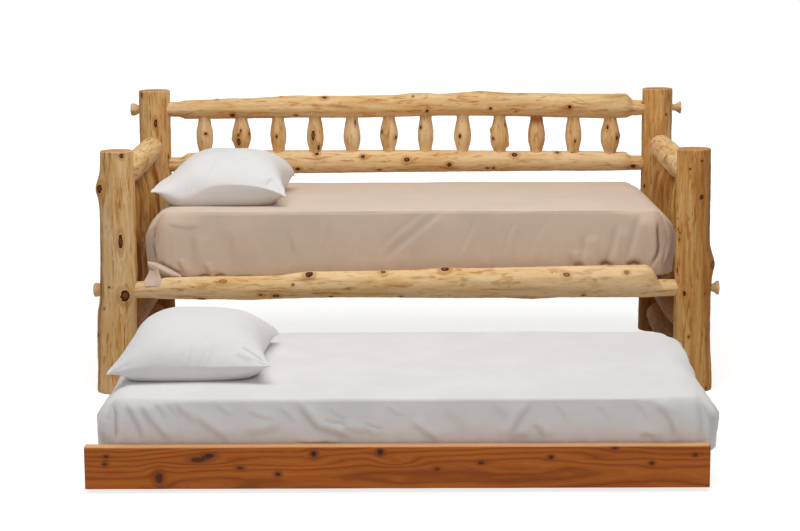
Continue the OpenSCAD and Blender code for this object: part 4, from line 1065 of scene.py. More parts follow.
def whittled_knob(profile, side, y, z, rng):
    """Rows of points round a knob, from inside its post out to its tip."""
    turn = np.arange(KNOB_CELLS) * FULL_TURN / KNOB_CELLS
    fine = np.linspace(0, len(profile) - 1, 45)
    reach, wide = (np.interp(fine, np.arange(len(profile)), part) for part in np.array(profile).T)
    # The slender neck stays round
    share = np.clip((wide - 0.012) / 0.008, 0, 1)[:, None]
    cut = np.ones((len(reach), KNOB_CELLS))
    for k in range(KNOB_FLATS):
        swing = swing_from(turn, FULL_TURN * (k + rng.uniform(-0.2, 0.2)) / KNOB_FLATS)
        flat = (1 - rng.uniform(0.02, 0.07)) / np.cos(np.clip(swing, -1.1, 1.1))
        cut = np.minimum(cut, 1 + (flat - 1) * share)
    radius = wide[:, None] * cut
    x = np.broadcast_to((side * (POST_X + reach))[:, None], radius.shape)
    return np.stack([x, y + radius * np.cos(turn * side), z + radius * np.sin(turn * side)], -1)


class DAYBED_OT_knobs(bpy.types.Operator):
    """Whittle the knobs that cap the bolts"""

    bl_idname = "daybed.knobs"
    bl_label = "Bolt knobs"

    # Reach from the post's line and radius of the knob there
    mushroom = [(0.050, 0.0110), (0.062, 0.0128), (0.070, 0.0140), (0.076, 0.0165), (0.081, 0.0203),
                (0.0855, 0.0238), (0.0888, 0.0258), (0.0912, 0.0262), (0.0930, 0.0250), (0.0942, 0.0222),
                (0.0949, 0.0165), (0.0953, 0.009), (0.0955, 0.0025)]
    drum = [(0.050, 0.0110), (0.062, 0.0165), (0.067, 0.0190), (0.072, 0.0222), (0.078, 0.0246),
            (0.083, 0.0256), (0.0875, 0.0258), (0.0910, 0.0250), (0.0932, 0.0232), (0.0944, 0.0205),
            (0.0950, 0.0155), (0.0953, 0.009), (0.0955, 0.0025)]
    places = [(FRONT_LOG_Y, SIDE_Z), (REAR_LOG_Y, SIDE_Z), (REAR_LOG_Y, BACK_TOP_Z)]

    def execute(self, context):
        points, faces, grain, layer = [], [], [], []
        for k, (side, (y, z)) in enumerate((side, place) for side in (-1, 1) for place in self.places):
            profile = self.drum if side < 0 else self.mushroom
            rows = whittled_knob(profile, side, y, z, np.random.default_rng(40 + k))
            index = np.arange(rows[..., 0].size).reshape(rows.shape[:2]) + k * rows[..., 0].size
            faces += tube_faces(index) + [index[-1].tolist(), index[0][::-1].tolist()]
            points.append(rows.reshape(-1, 3))
            x, across, up = (points[-1] - (0, y, z)).T
            grain.append(np.stack([across, up, x + 3 * k], -1))
            layer.append(0.026 - np.hypot(across, up))
        points = np.vstack(points)
        count = len(points)
        new_piece("whittled_knobs", points, faces, cedar(), "daybed", "turned_knob", ["bolt_knobs"],
                  grain=np.vstack(grain), layer=np.concatenate(layer), knot=np.tile(NO_KNOT, (count, 1)),
                  stain=np.full(count, 0.12), tone=np.full(count, 0.2))
        return {"FINISHED"}


def box_lattice(xs, ys, zs):
    """Points and faces of a closed box whose sides are grids."""
    shape = (len(xs), len(ys), len(zs))
    shell = np.ones(shape, bool)
    shell[1:-1, 1:-1, 1:-1] = False
    index = np.full(shape, -1)
    index[shell] = np.arange(int(shell.sum()))
    i, j, k = np.nonzero(shell)
    points = np.stack([xs[i], ys[j], zs[k]], 1)
    faces = []
    for axis in range(3):
        for end in (0, -1):
            quads = grid_faces(np.take(index, end, axis))
            faces += (quads[:, ::-1] if (end == 0) != (axis == 1) else quads).tolist()
    return points, faces


class DAYBED_OT_board(bpy.types.Operator):
    """Saw the trundle's front board"""

    bl_idname = "daybed.board"
    bl_label = "Front board"

    # Knots on the face: (x, z, half length, half width, darkness), in mm
    knots = [(-881, 111, 7, 5, 0.8), (-885, 88, 8, 5, 0.8), (-727, 46, 12, 17, 0.85), (-612, 101, 22, 8, 0.8),
             (-578, 113, 16, 7, 0.95), (-488, 76, 10, 5, 0.8), (-271, 118, 9, 9, 1), (-377, 57, 9, 6, 0.95),
             (-77, 123, 9, 9, 1), (90, 71, 8, 6, 0.6), (219, 89, 9, 5, 0.85), (424, 106, 8, 6, 0.85),
             (611, 134, 9, 6, 0.8), (720, 87, 8, 6, 0.8), (846, 111, 7, 5, 0.8)]
    # Oval figures of the rings: (x, z, half length, half width, how far the rings rise), in mm
    figures = [(-29, 92, 62, 14, 19), (-300, 88, 120, 12, 11), (330, 70, 90, 13, 13), (560, 96, 100, 14, 11),
               (-560, 92, 90, 12, 10)]
    cells = (300, 10, 28)
    edge_ease = 0.0022
    far_off = 6.0

    def execute(self, context):
        low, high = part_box("trundle_front_board")
        rng = np.random.default_rng(5)
        points, faces = box_lattice(*(np.linspace(*ends) for ends in zip(low, high, self.cells)))
        middle, half = middle_and_half(low, high)
        local = rounded(points - middle, half, self.edge_ease)[0]
        x, z = local[:, 0], local[:, 2]
        local[:, 2] += 0.0007 * slow_wave(rng, x, 0.7) * (z > 0)
        local[:, 1] += 0.0005 * slow_wave(rng, x + z * 2, 0.16)
        points = local + middle
        x, y, z = points.T
        knot, lift = self.grown_knots(x / MM, z / MM)
        pith = -0.045 + 0.012 * slow_wave(rng, x, 1.5) + 0.02 * np.sin(x * 1.7 + 0.8)
        layer = np.hypot(z - 0.08 - pith - lift, 0.05 + y - low.y) + 0.006 * slow_wave(rng, x, 0.9)
        for fx, fz, long, wide, height in self.figures:
            layer += height * MM * np.exp(-((x / MM - fx) / long) ** 2 - ((z / MM - fz) / wide) ** 2)
        # The upper edge is painted paler than the face: paler sapwood, and a painted highlight of the light
        # from above
        edge = 0.9 * np.clip((z - (high.z - 0.0025)) / 0.0015, 0, 1)
        sawn = material_once("sawn_cedar", sawn_cedar, looks()[0])
        new_piece("cedar_front_board", points, faces, sawn, "trundle", "cedar_board", ["trundle_front_board"],
                  grain=points - np.outer(lift, (0, 0, 1)), layer=layer, knot=knot, tone=edge)
        return {"FINISHED"}

    def grown_knots(self, x, z):
        """The nearest knot to each place, in the knot's half sizes, and how far the knots lift the grain."""
        knot = np.tile([self.far_off, self.far_off, 0.0], (len(x), 1))
        nearest = np.full(len(x), self.far_off ** 2)
        lift = np.zeros(len(x))
        for kx, kz, long, wide, dark in self.knots:
            u, v = (x - kx) / long, (z - kz) / wide
            far = u * u + v * v
            lift += (z - kz) * MM * 0.9 * np.exp(-(u / 3.2) ** 2 - (v / 2.0) ** 2)
            closer = far < nearest
            nearest = np.where(closer, far, nearest)
            knot[closer] = np.stack([u, v, np.full_like(u, dark)], 1)[closer]
        knot[:, 2] *= np.clip((9.0 - nearest) / 5.0, 0, 1)
        return knot, lift


class DAYBED_OT_hidden_boards(bpy.types.Operator):
    """Finish the cleats, slats, trundle box, bolts and casters"""

    bl_idname = "daybed.hidden_boards"
    bl_label = "Boards, bolts and casters"

    along_x = ("front_cleat", "rear_cleat", "trundle_rear_board", "trundle_front_cleat", "trundle_rear_cleat",
               "trundle_centre_beam", "trundle_corner_blocks")
    along_y = ("mattress_slats", "trundle_left_side", "trundle_right_side", "trundle_slats")

    def execute(self, context):
        wood = looks()[0]
        wheels = [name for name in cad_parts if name.startswith("caster_wheel")]
        finishes = (
            (self.along_x, sawn_pine("pine_along_x", (1, 0, 0), wood)),
            (self.along_y, sawn_pine("pine_along_y", (0, 1, 0), wood)),
            (("rail_bolts",), steel("bolt_steel_finish", (0.34, 0.33, 0.32))),
            (("caster_forks", "caster_axles"), steel("zinc_steel", (0.50, 0.50, 0.51))),
            (wheels, rubber("wheel_tyre")),
        )
        for nodes, material in finishes:
            for node in nodes:
                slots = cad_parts[node].material_slots
                if not slots:
                    raise RuntimeError(f"{node} has no material slot to finish")
                for held in slots:
                    held.material = material
        return {"FINISHED"}


# Mattresses

# Folds on a mattress's faces: (height in mm, width in mm, points in mm). A fold rises gently on the left of
# its points as they are followed and drops steeply on the right. A height below 0 is a groove.
TAN_FRONT_FOLDS = [
    (-1.4, 3, [(-930, 634), (-400, 636), (-100, 635), (0, 637), (300, 636), (860, 634)]),
    (-9.0, 5, [(-924, 570), (-921, 551), (-915, 525), (-906, 500), (-900, 472), (-892, 448)]),
    (6.0, 10, [(-936, 440), (-934, 480), (-936, 520), (-938, 570)]),
    (-8.0, 4, [(-900, 592), (-902, 580), (-905, 561), (-909, 530)]),
    (-7.0, 5, [(-900, 462), (-880, 455), (-853, 441), (-813, 418), (-790, 408)]),
    (-8.0, 9, [(-905, 400), (-850, 398), (-780, 402)]),
    (-6.0, 6, [(-745, 404), (-725, 409), (-700, 404)]),
    (-7.0, 6, [(-692, 403), (-668, 411), (-646, 404)]),
    (-8.0, 8, [(690, 438), (716, 450), (746, 438)]),
    (-8.0, 8, [(784, 438), (816, 452), (850, 438)]),
    (-6.0, 8, [(596, 438), (620, 445), (644, 438)]),
    (2.3, 20, [(-745, 560), (-742, 500), (-738, 425)]),
    (1.8, 9, [(-860, 600), (-800, 588), (-720, 590)]),
    (1.6, 10, [(-420, 590), (-400, 520), (-380, 470)]),
    (1.6, 12, [(-260, 610), (-270, 540), (-300, 470)]),
    (1.8, 12, [(260, 610), (230, 540), (190, 460)]),
    (1.8, 12, [(400, 600), (370, 530), (350, 450)]),
    (4.3, 10, [(-812, 470), (-800, 440), (-790, 412)]),
    (4.3, 9, [(-716, 455), (-709, 435), (-704, 412)]),
    (3.2, 24, [(158, 640), (50, 552), (-83, 440)]),
    (2.0, 20, [(93, 640), (-21, 553), (-110, 470)]),
    (2.0, 29, [(-640, 600), (-600, 520), (-560, 430)]),
    (1.7, 22, [(520, 600), (470, 520), (440, 440)]),
    (3.6, 16, [(604, 500), (612, 450), (616, 404)]),
    (4.6, 19, [(659, 560), (648, 490), (640, 450), (632, 398)]),
    (5.2, 20, [(773, 590), (752, 500), (738, 450), (731, 400)]),
    (5.6, 20, [(857, 625), (837, 573), (826, 528), (818, 494), (802, 430)]),
    (-9.0, 6, [(900, 606), (903, 544), (905, 507), (900, 478), (884, 449), (872, 425)]),
    (5.0, 16, [(924, 590), (928, 540), (926, 490), (912, 440)]),
    (5.8, 9, [(936, 519), (933, 473), (925, 440)]),
]
TAN_LEFT_FOLDS = [
    (7.2, 11, [(186, 600), (190, 540), (182, 470), (168, 425)]),
    (5.8, 12, [(262, 590), (275, 520), (262, 430)]),
    (3.6, 18, [(420, 600), (440, 520), (430, 430)]),
    (3.6, 20, [(760, 600), (735, 520), (745, 430)]),
    (5.8, 13, [(1010, 600), (985, 520), (1000, 430)]),
]
TAN_RIGHT_FOLDS = [
    (7.2, 11, [(205, 610), (212, 540), (196, 440)]),
    (5.8, 13, [(268, 600), (278, 520), (258, 430)]),
    (4.3, 15, [(345, 600), (356, 520), (340, 430)]),
    (3.6, 20, [(700, 600), (680, 520), (690, 430)]),
    (5.8, 13, [(1020, 600), (1000, 520), (1010, 430)]),
]
WHITE_FRONT_FOLDS = [
    (6.1, 11, [(-826, 262), (-803, 234), (-784, 203), (-773, 171), (-764, 140)]),
    (6.1, 11, [(-785, 260), (-756, 229), (-735, 202), (-714, 176), (-682, 148)]),
    (2.6, 6, [(-738, 262), (-716, 240), (-700, 214)]),
    (2.4, 6, [(-700, 262), (-680, 236), (-660, 214)]),
    (2.2, 6, [(-560, 262), (-530, 238), (-506, 222)]),
    (2.2, 7, [(-470, 240), (-420, 222), (-380, 214)]),
    (2.4, 7, [(-372, 252), (-340, 222), (-318, 200)]),
    (2.0, 6, [(-226, 250), (-200, 228), (-168, 214)]),
    (2.0, 6, [(-60, 258), (-30, 234), (6, 220)]),
    (-2.4, 5, [(-250, 214), (-222, 204), (-190, 200), (-160, 188)]),
    (-2.2, 5, [(-128, 200), (-96, 188), (-60, 182)]),
    (2.2, 7, [(440, 258), (470, 226), (486, 190)]),
    (2.0, 7, [(560, 258), (590, 232), (608, 200)]),
    (2.6, 8, [(676, 262), (704, 234), (722, 206)]),
    (4.9, 11, [(-674, 266), (-654, 242), (-630, 224), (-604, 208)]),
    (5.5, 13, [(-616, 230), (-588, 206), (-554, 180), (-512, 150)]),
    (3.8, 15, [(-481, 184), (-428, 186), (-363, 205)]),
    (8.1, 12, [(-318, 269), (-286, 232), (-257, 196), (-205, 181), (-170, 169), (-140, 146)]),
    (5.2, 12, [(-330, 150), (-283, 145), (-235, 148), (-180, 138)]),
    (3.8, 10, [(-190, 196), (-149, 185), (-108, 177)]),
    (2.9, 10, [(-130, 192), (-100, 176), (-78, 158)]),
    (5.2, 11, [(16, 208), (54, 182), (76, 168), (108, 146)]),
    (2.3, 24, [(120, 262), (176, 214), (214, 160)]),
    (4.9, 12, [(290, 150), (293, 168), (315, 203), (336, 234), (370, 270)]),
    (2.6, 15, [(262, 262), (292, 238), (322, 206)]),
    (3.8, 15, [(292, 166), (330, 172), (372, 168)]),
    (4.6, 11, [(378, 205), (400, 184), (424, 152)]),
    (5.8, 12, [(734, 263), (771, 233), (789, 206), (800, 175), (806, 140)]),
    (4.6, 9, [(684, 167), (712, 170), (734, 161), (744, 148)]),
    (4.3, 13, [(866, 266), (880, 230), (884, 190), (880, 140)]),
    (5.1, 10, [(-900, 250), (-893, 214), (-896, 172), (-905, 140)]),
    (-4.0, 6, [(-866, 256), (-858, 222), (-856, 180), (-860, 140)]),
]
WHITE_LEFT_FOLDS = [
    (7.2, 11, [(-1150, 250), (-1156, 210), (-1150, 140)]),
    (5.8, 13, [(-1075, 262), (-1085, 200), (-1065, 130)]),
    (5.1, 15, [(-980, 262), (-1000, 190), (-980, 130)]),
    (4.3, 20, [(-700, 262), (-680, 200), (-690, 130)]),
    (5.1, 14, [(-330, 262), (-310, 200), (-320, 130)]),
]
WHITE_RIGHT_FOLDS = [
    (8.7, 10, [(-1150, 262), (-1152, 226), (-1138, 200), (-1146, 168), (-1150, 130)]),
    (7.2, 12, [(-1085, 266), (-1098, 210), (-1075, 150), (-1070, 120)]),
    (5.8, 13, [(-1005, 268), (-1015, 200), (-995, 140)]),
    (4.3, 18, [(-900, 265), (-915, 200), (-900, 140)]),
    (4.3, 20, [(-600, 262), (-620, 200), (-600, 130)]),
    (5.1, 14, [(-300, 262), (-320, 200), (-300, 130)]),
]


def fold_height(across, up, folds):
    """How far the folds raise each place, in metres, and the painted shade of each place, from 0 to 1, which
    is darkest deep in a groove and at the foot of a fold.
    """
    out = np.zeros(len(across))
    deep = np.zeros(len(across))
    for height, width, line in folds:
        width *= MM
        along, signed, whole = along_line(across, up, np.array(line, float) * MM)
        first = np.clip(along / min(0.22 * whole, 0.06), 0, 1)
        last = np.clip((whole - along) / min(0.30 * whole, 0.08), 0, 1)
        ends = smooth(first * last)
        if height < 0:
            groove = ends * np.exp(-(signed / width) ** 2)
            out += height * MM * groove
            # Painted shade along the bottom of the groove
            deep = np.maximum(deep, min(-height / 9, 0.95) * groove ** 1.3)
            continue
        gentle = np.exp(-(signed / (1.8 * width)) ** 2)
        steep = np.exp(-(signed / (0.6 * width)) ** 2)
        steep = steep - 0.55 * (1 - steep) * np.exp(-(signed / (2.4 * width)) ** 2)
        out += height * MM * ends * np.where(signed > 0, gentle, steep)
        # Painted shade at the foot of the fold's steep side
        foot = np.exp(-((signed / width + 1.1) / 0.7) ** 2)
        deep = np.maximum(deep, min(height / 26, 0.4) * ends * foot)
    return out, deep


def along_line(across, up, line):
    """How far along a line each place lies, how far to its left, and how long the whole line is."""
    lengths = np.r_[0, np.cumsum(np.hypot(*np.diff(line, axis=0).T))]
    best = np.full(len(across), 1e9)
    signed = np.zeros(len(across))
    along = np.zeros(len(across))
    for start, step, so_far in zip(line, np.diff(line, axis=0), lengths):
        size = np.hypot(*step)
        share = ((across - start[0]) * step[0] + (up - start[1]) * step[1]) / size ** 2
        share = np.clip(share, 0, 1)
        dx = across - start[0] - share * step[0]
        dz = up - start[1] - share * step[1]
        far = np.hypot(dx, dz)
        closer = far < best
        best = np.where(closer, far, best)
        side = np.where(step[0] * dz - step[1] * dx >= 0, 1.0, -1.0)
        signed = np.where(closer, side * far, signed)
        along = np.where(closer, so_far + share * size, along)
    return along, signed, lengths[-1]


# How a mattress is shaped, in metres: how far its long edges ease in and down, the ease of its ends, the
# radius of its corners seen from above, how far its middle rises, how much its front edge stands above its
# mean height, and how much of the ends' wide ease its rear corners share
MattressForm = namedtuple("MattressForm", "edge edge_drop end_edge corner crown tilt rear")
TAN_FORM = MattressForm(0.004, 0.013, 0.095, 0.085, 0.006, 0.010, 1.0)
WHITE_FORM = MattressForm(0.010, 0.014, 0.090, 0.085, 0.006, 0.0, 0.3)


def eased_steps(low, high, fine, coarse, border):
    """Places from low to high, fine near both ends and coarse between them."""
    out = [low]
    while out[-1] < high:
        near = min(out[-1] - low, high - out[-1])
        out.append(out[-1] + fine + (coarse - fine) * min(max(near / border, 0), 1))
    out = np.array(out)
    return low + (out - low) * (high - low) / (out[-1] - low)


def mattress_body(half, form):
    """A mattress about its middle: its points, its faces and the way that each point faces."""
    xs = eased_steps(-half[0], half[0], 0.0026, 0.0064, 0.14)
    ys = eased_steps(-half[1], half[1], 0.004, 0.009, 0.12)
    zs = eased_steps(-half[2], half[2], 0.002, 0.006, 0.05)
    points, faces = box_lattice(xs, ys, zs)
    # The long edges are crisp and the ends fall away in a wider curve
    near_end = smooth(np.clip((np.abs(points[:, 0]) - half[0] + 0.26) / 0.24, 0, 1))
    near_end *= 1 - (1 - form.rear) * np.clip(points[:, 1] / half[1] * 2, 0, 1)
    upper = smooth(np.clip((points[:, 2] / half[2] + 0.35) / 0.7, 0, 1))
    extra = (form.end_edge - form.edge) * near_end * upper
    drop = form.edge_drop * (1 - 0.5 * np.clip(points[:, 0] / half[0] + 0.5, 0, 1))
    ease = [form.end_edge * (0.4 + 0.6 * upper), form.edge + 0.012 * (1 - upper) + 0.35 * extra, drop + extra]
    points, outward = rounded(points, half, np.stack(ease, 1))
    # Seen from above, the corners are round
    room = np.abs(points[:, :2]) - (half[:2] - form.corner)
    corner = (room > 0).all(1)
    room = room[corner]
    room *= (room.max(1) / np.hypot(*room.T))[:, None]
    points[corner, :2] = np.sign(points[corner, :2]) * (half[:2] - form.corner + room)
    return points, faces, outward


def mattress_piece(name, node, material, slot, body, form, faces_of, seed):
    """A mattress under its fitted sheet, in the space of its solid."""
    rng = np.random.default_rng(seed)
    low, high = (np.array(corner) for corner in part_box(node))
    high[2] -= max(form.crown, form.tilt)
    middle, half = middle_and_half(low, high)
    half[:2] -= 0.002
    points, faces, outward = mattress_body(half, form)
    u, v, w = (points / half).T
    top = np.clip((w - 0.2) / 0.8, 0, 1)
    dome = np.clip(1 - u ** 4, 0, 1) * np.clip(1 - v ** 4, 0, 1)
    points[:, 2] += (form.crown * dome - form.tilt * v) * top
    wave = slow_wave(rng, points[:, 0] + 0.4 * points[:, 1], 0.55) * 0.0012 * top
    wave += slow_wave(rng, points[:, 1] - 0.3 * points[:, 0], 0.38) * 0.0010 * top
    points += middle
    x, y, z = points.T
    # deep is the painted shade of the folds and grooves, which darkens the sheet's colour
    lift, deep = np.zeros(len(points)), np.zeros(len(points))
    for side, start, along, height, face in (
        (-outward[:, 1], 0.2, x, 1.0, "front"),
        (-outward[:, 0], 0.7, y, 1.0, "left"),
        (outward[:, 0], 0.7, y, 1.0, "right"),
        # The back's folds are the front's, seen the other way round
        (outward[:, 1], 0.4, -x * 0.93, 0.7, "front"),
    ):
        facing = np.clip((side - start) / 0.3, 0, 1)
        raised, fold_shade = fold_height(along, z, faces_of[face])
        lift += facing * height * raised
        deep = np.maximum(deep, facing * height * fold_shade)
    # The sides belly out a little between the upper and the lower edge
    sideways = np.hypot(outward[:, 0], outward[:, 1])
    belly = 0.003 * (1 - w ** 2) * sideways
    lift += 0.0012 * slow_wave(rng, x + y * 0.9, 0.045) * np.clip(0.6 - w, 0, 1) * sideways
    creases = np.sin(x * 19 + z * 34 + 2.2 * slow_wave(rng, x, 0.16))
    lift += 0.0007 * creases * sideways * slow_wave(rng, x * 1.3 + y, 0.4)
    points = points + outward * (belly + lift * looks()[1].fold)[:, None]
    points[:, 2] = np.maximum(points[:, 2] + wave * (1 - sideways), low[2] + 0.0003)
    return new_piece(name, points, faces, material, body, slot, [node], deep=deep)


class DAYBED_OT_daybed_mattress(bpy.types.Operator):
    """Cover the daybed mattress with its tan sheet"""

    bl_idname = "daybed.daybed_mattress"
    bl_label = "Daybed mattress"

    def execute(self, context):
        tan = sheeting("tan_sheeting", looks()[1].tan)
        folds = {"front": TAN_FRONT_FOLDS, "left": TAN_LEFT_FOLDS, "right": TAN_RIGHT_FOLDS}
        piece = mattress_piece("tan_mattress", "daybed_mattress", tan, "tan_sheet", "daybed",
                               TAN_FORM, folds, 3)
        return {"FINISHED"}


class DAYBED_OT_trundle_mattress(bpy.types.Operator):
    """Cover the trundle mattress with its white sheet"""

    bl_idname = "daybed.trundle_mattress"
    bl_label = "Trundle mattress"

    def execute(self, context):
        white = sheeting("white_sheeting", looks()[1].white)
        folds = {"front": WHITE_FRONT_FOLDS, "left": WHITE_LEFT_FOLDS, "right": WHITE_RIGHT_FOLDS}
        piece = mattress_piece("white_mattress", "trundle_mattress", white, "white_sheet", "trundle",
                               WHITE_FORM, folds, 8)
        return {"FINISHED"}


# The spare corner of the tan sheet


def cloth_shell(rows, thick):
    """A closed shell round a grid of points, thick at the middle of the cloth, and the area of one side."""
    normal = np.cross(np.gradient(rows, axis=1), np.gradient(rows, axis=0))
    normal /= np.maximum(np.linalg.norm(normal, axis=2, keepdims=True), 1e-12)
    points = np.stack([rows + normal * thick / 2, rows - normal * thick / 2]).reshape(-1, 3)
    count = len(points) // 2
    index = np.arange(count).reshape(rows.shape[:2])
    quads = grid_faces(index)
    rim = np.r_[index[0, :-1], index[:-1, -1], index[-1, :0:-1], index[:0:-1, 0]]
    after = np.roll(rim, -1)
    faces = quads.tolist() + (quads[:, ::-1] + count).tolist()
    faces += np.stack([rim, after, after + count, rim + count], -1).tolist()
    a, b, c, d = rows.reshape(-1, 3)[quads.T]
    return points, faces, float(np.linalg.norm(np.cross(c - a, d - b), axis=1).sum() / 2)


class DAYBED_OT_sheet_corner(bpy.types.Operator):
    """Fold the spare corner of the tan sheet over the front rail"""

    bl_idname = "daybed.sheet_corner"
    bl_label = "Spare corner of the sheet"

    # Places in mm along the upper and the lower edge of the pleat: x and height
    upper = [(-927, 462), (-895, 456), (-853, 436), (-806, 408)]
    lower = [(-922, 432), (-893, 409), (-854, 408), (-804, 404)]
    # The tail: left x, right x, y and height, from the pleat forward over the rail
    tail = [(-917, -892, 134, 440), (-921, -886, 126, 428), (-926, -880, 115, 414), (-931, -876, 102, 404),
            (-934, -874, 90, 400), (-934, -873, 78, 396), (-931, -873, 68, 389), (-927, -875, 61, 383)]
    thick = 0.0018

    def execute(self, context):
        pleat, pleat_faces, pleat_area, pleat_shade = self.rolled_pleat()
        hang, hang_faces, hang_area, hang_shade = self.hanging_tail()
        faces = pleat_faces + [[k + len(pleat) for k in face] for face in hang_faces]
        piece = new_piece("tan_sheet_corner", np.vstack([pleat, hang]), faces,
                          sheeting("tan_sheeting", looks()[1].tan), "daybed", "tan_sheet",
                          deep=np.r_[pleat_shade, pleat_shade, hang_shade, hang_shade])
        area = pleat_area + hang_area
        return {"FINISHED"}

    def rolled_pleat(self):
        """The pleat at the foot of the mattress, with painted shade that darkens it towards its lower edge.
        """
        rng = np.random.default_rng(21)
        s, t = np.meshgrid(np.linspace(0, 1, 40), np.linspace(0, 1, 22))
        upper, lower = self.between(s, self.upper), self.between(s, self.lower)
        x, z = (a * (1 - t) + b * t for a, b in zip(upper, lower))
        roll = np.sin(t * math.pi) ** 0.5
        y = 0.1380 - 0.0095 * roll * (1 - 0.4 * s) - 0.002 * t + 0.0016 * slow_wave(rng, x + 1.6 * z, 0.05)
        # Painted shade, darker towards the lower edge
        shade = 0.32 * np.clip((t - 0.15) / 0.6, 0, 1)
        return *cloth_shell(np.stack([x, y, z], -1), self.thick), shade.ravel()

    def hanging_tail(self):
        """The tail that lies on the rail and hangs over it, darkened with painted shade where the pleat
        shades it.
        """
        rail = hit_tree("front_rail")
        s, t = np.meshgrid(np.linspace(0, 1, 26), np.linspace(0, 1, 36))
        left, right, y, z = self.between(t, self.tail)
        x = left * (1 - s) + right * s
        y = y + 0.003 * np.sin(s * 5)
        for k in np.ndindex(x.shape):
            hit = rail.ray_cast(Vector((x[k], y[k], 0.6)), Vector((0, 0, -1)))[0]
            if hit is not None:
                z[k] = max(z[k], hit.z + 0.0016)
        z = softened(z, 1.0, 0.0) + 0.0014 * np.sin(s * 7 + 3 * t) * np.clip(t * 3, 0, 1) * (1 - t)
        # Painted shade over the whole tail, a little lighter further from the pleat
        return *cloth_shell(np.stack([x, y, z], -1), self.thick), (0.30 - 0.1 * t).ravel()

    def between(self, share, places):
        """The values of a table's columns, in metres, at a share of the way down the table."""
        places = np.array(places, float) * MM
        steps = np.arange(len(places))
        return [np.interp(share * steps[-1], steps, column) for column in places.T]


# Pillows

# A pillow in metres: its length and depth, its seam's height over the bed, the share of that by which its
# corners drop, how many degrees it turns, how thin its left side is, how far its front seam dips there, what
# each corner does (its side, its row, how far it reaches out and how far it drops), and its creases as
# (height in mm, width in mm, points in mm across its own length and depth)
PillowForm = namedtuple("PillowForm", "length depth seam drop turned thin dip corners creases")


def pillow_grid(cells=(104, 92)):
    """Two panels of cells that are joined round their edges, closest together near the seam."""
    spread = [np.sin(np.linspace(-1, 1, count + 1) * math.pi / 2) for count in cells]
    u, v = np.meshgrid(*spread, indexing="ij")
    inside = np.zeros_like(u, bool)
    inside[1:-1, 1:-1] = True
    inner = int(inside.sum())
    upper = np.arange(u.size).reshape(u.shape)
    lower = upper.copy()
    lower[inside] = u.size + np.arange(inner)
    faces = grid_faces(upper).tolist() + grid_faces(lower)[:, ::-1].tolist()
    under = np.r_[np.zeros(u.size, bool), np.ones(inner, bool)]
    return np.r_[u.ravel(), u[inside]], np.r_[v.ravel(), v[inside]], under, faces


def outward_normals(points, faces):
    quads = np.array(faces)
    a, b, c, d = points[quads.T]
    flat = np.cross(c - a, d - b)
    normal = np.zeros_like(points)
    for corner in quads.T:
        np.add.at(normal, corner, flat)
    return normal / np.maximum(np.linalg.norm(normal, axis=1, keepdims=True), 1e-12)


def plumpness(u, v, form):
    """How full the upper panel stands, from 0 on the seam to 1 in the middle."""
    # The front leaves the seam more gently than the other sides
    gentle = np.where(v < 0, 0.55 + 0.25 * np.clip(u * 1.6 + 0.5, 0, 1), 0.62)
    front = (1 - np.abs(v) ** 2.2).clip(0) ** gentle
    across = (1 - np.abs(u) ** np.where(u < 0, 3.0, 2.6)).clip(0)
    return across ** np.where(u < 0, form.thin, 0.54) * front


def panel_heights(u, v, under, full, tall, rest, form):
    """The height over the bed of each place on both panels."""
    sag = (1 - np.abs(u) ** np.where(u < 0, 7.5 - 2.6 * form.thin, 6)) * (1 - np.abs(v) ** 5.2)
    sag = sag.clip(0) ** 0.6 * (1 - 0.9 * (u * v) ** 2)
    seam = form.seam * (1 - form.drop * (u * v) ** 4)
    seam = seam - form.dip * np.exp(-((u + 0.5) / 0.33) ** 2) * np.clip(-v, 0, 1) ** 3
    # The lower panel rounds under to the mattress
    soft = 0.006
    sunk = seam - form.seam * 1.9 * sag
    sunk = rest + soft * np.log1p(np.exp(np.clip((sunk - rest) / soft, -40, 40)))
    return np.where(under, np.minimum(sunk, seam), seam + (tall - seam) * full)


def pillow_waves(rng, u, v, x, y, full, form):
    """How far the cover rises: the bead of its seam, puckers along it, rays from the corners and waves."""
    off_x = form.length / 2 * (1 - np.abs(u))
    off_y = form.depth / 2 * (1 - np.abs(v))
    near = np.minimum(off_x, off_y)
    along = np.where(off_x < off_y, y, x)
    ripple = np.sin(along * FULL_TURN / 0.023 + 2.5 * slow_wave(rng, along, 0.11))
    share = np.exp(-near / 0.016) * (1 - np.exp(-near / 0.003))
    lift = 0.0007 * ripple * share * (0.8 + slow_wave(rng, along, 0.2))
    lift += 0.0008 * np.exp(-(near / 0.0035) ** 2)
    for sx in (-1, 1):
        for sy in (-1, 1):
            away_x = form.length / 2 - sx * x
            away_y = form.depth / 2 - sy * y
            away = np.hypot(away_x, away_y)
            turn = np.arctan2(away_y, away_x)
            rays = np.sin(turn * 9 + rng.uniform(0, 6)) + 0.6 * np.sin(turn * 16 + rng.uniform(0, 6))
            lift += 0.0024 * rays * np.exp(-(away / 0.085) ** 2) * np.clip(away / 0.02, 0, 1)
    lift += 0.0016 * slow_wave(rng, x + 0.6 * y, 0.21) * full
    lift += 0.0014 * slow_wave(rng, y - 0.5 * x, 0.17) * full
    return lift


def turned(x, y, angle):
    return x * math.cos(angle) - y * math.sin(angle), x * math.sin(angle) + y * math.cos(angle)


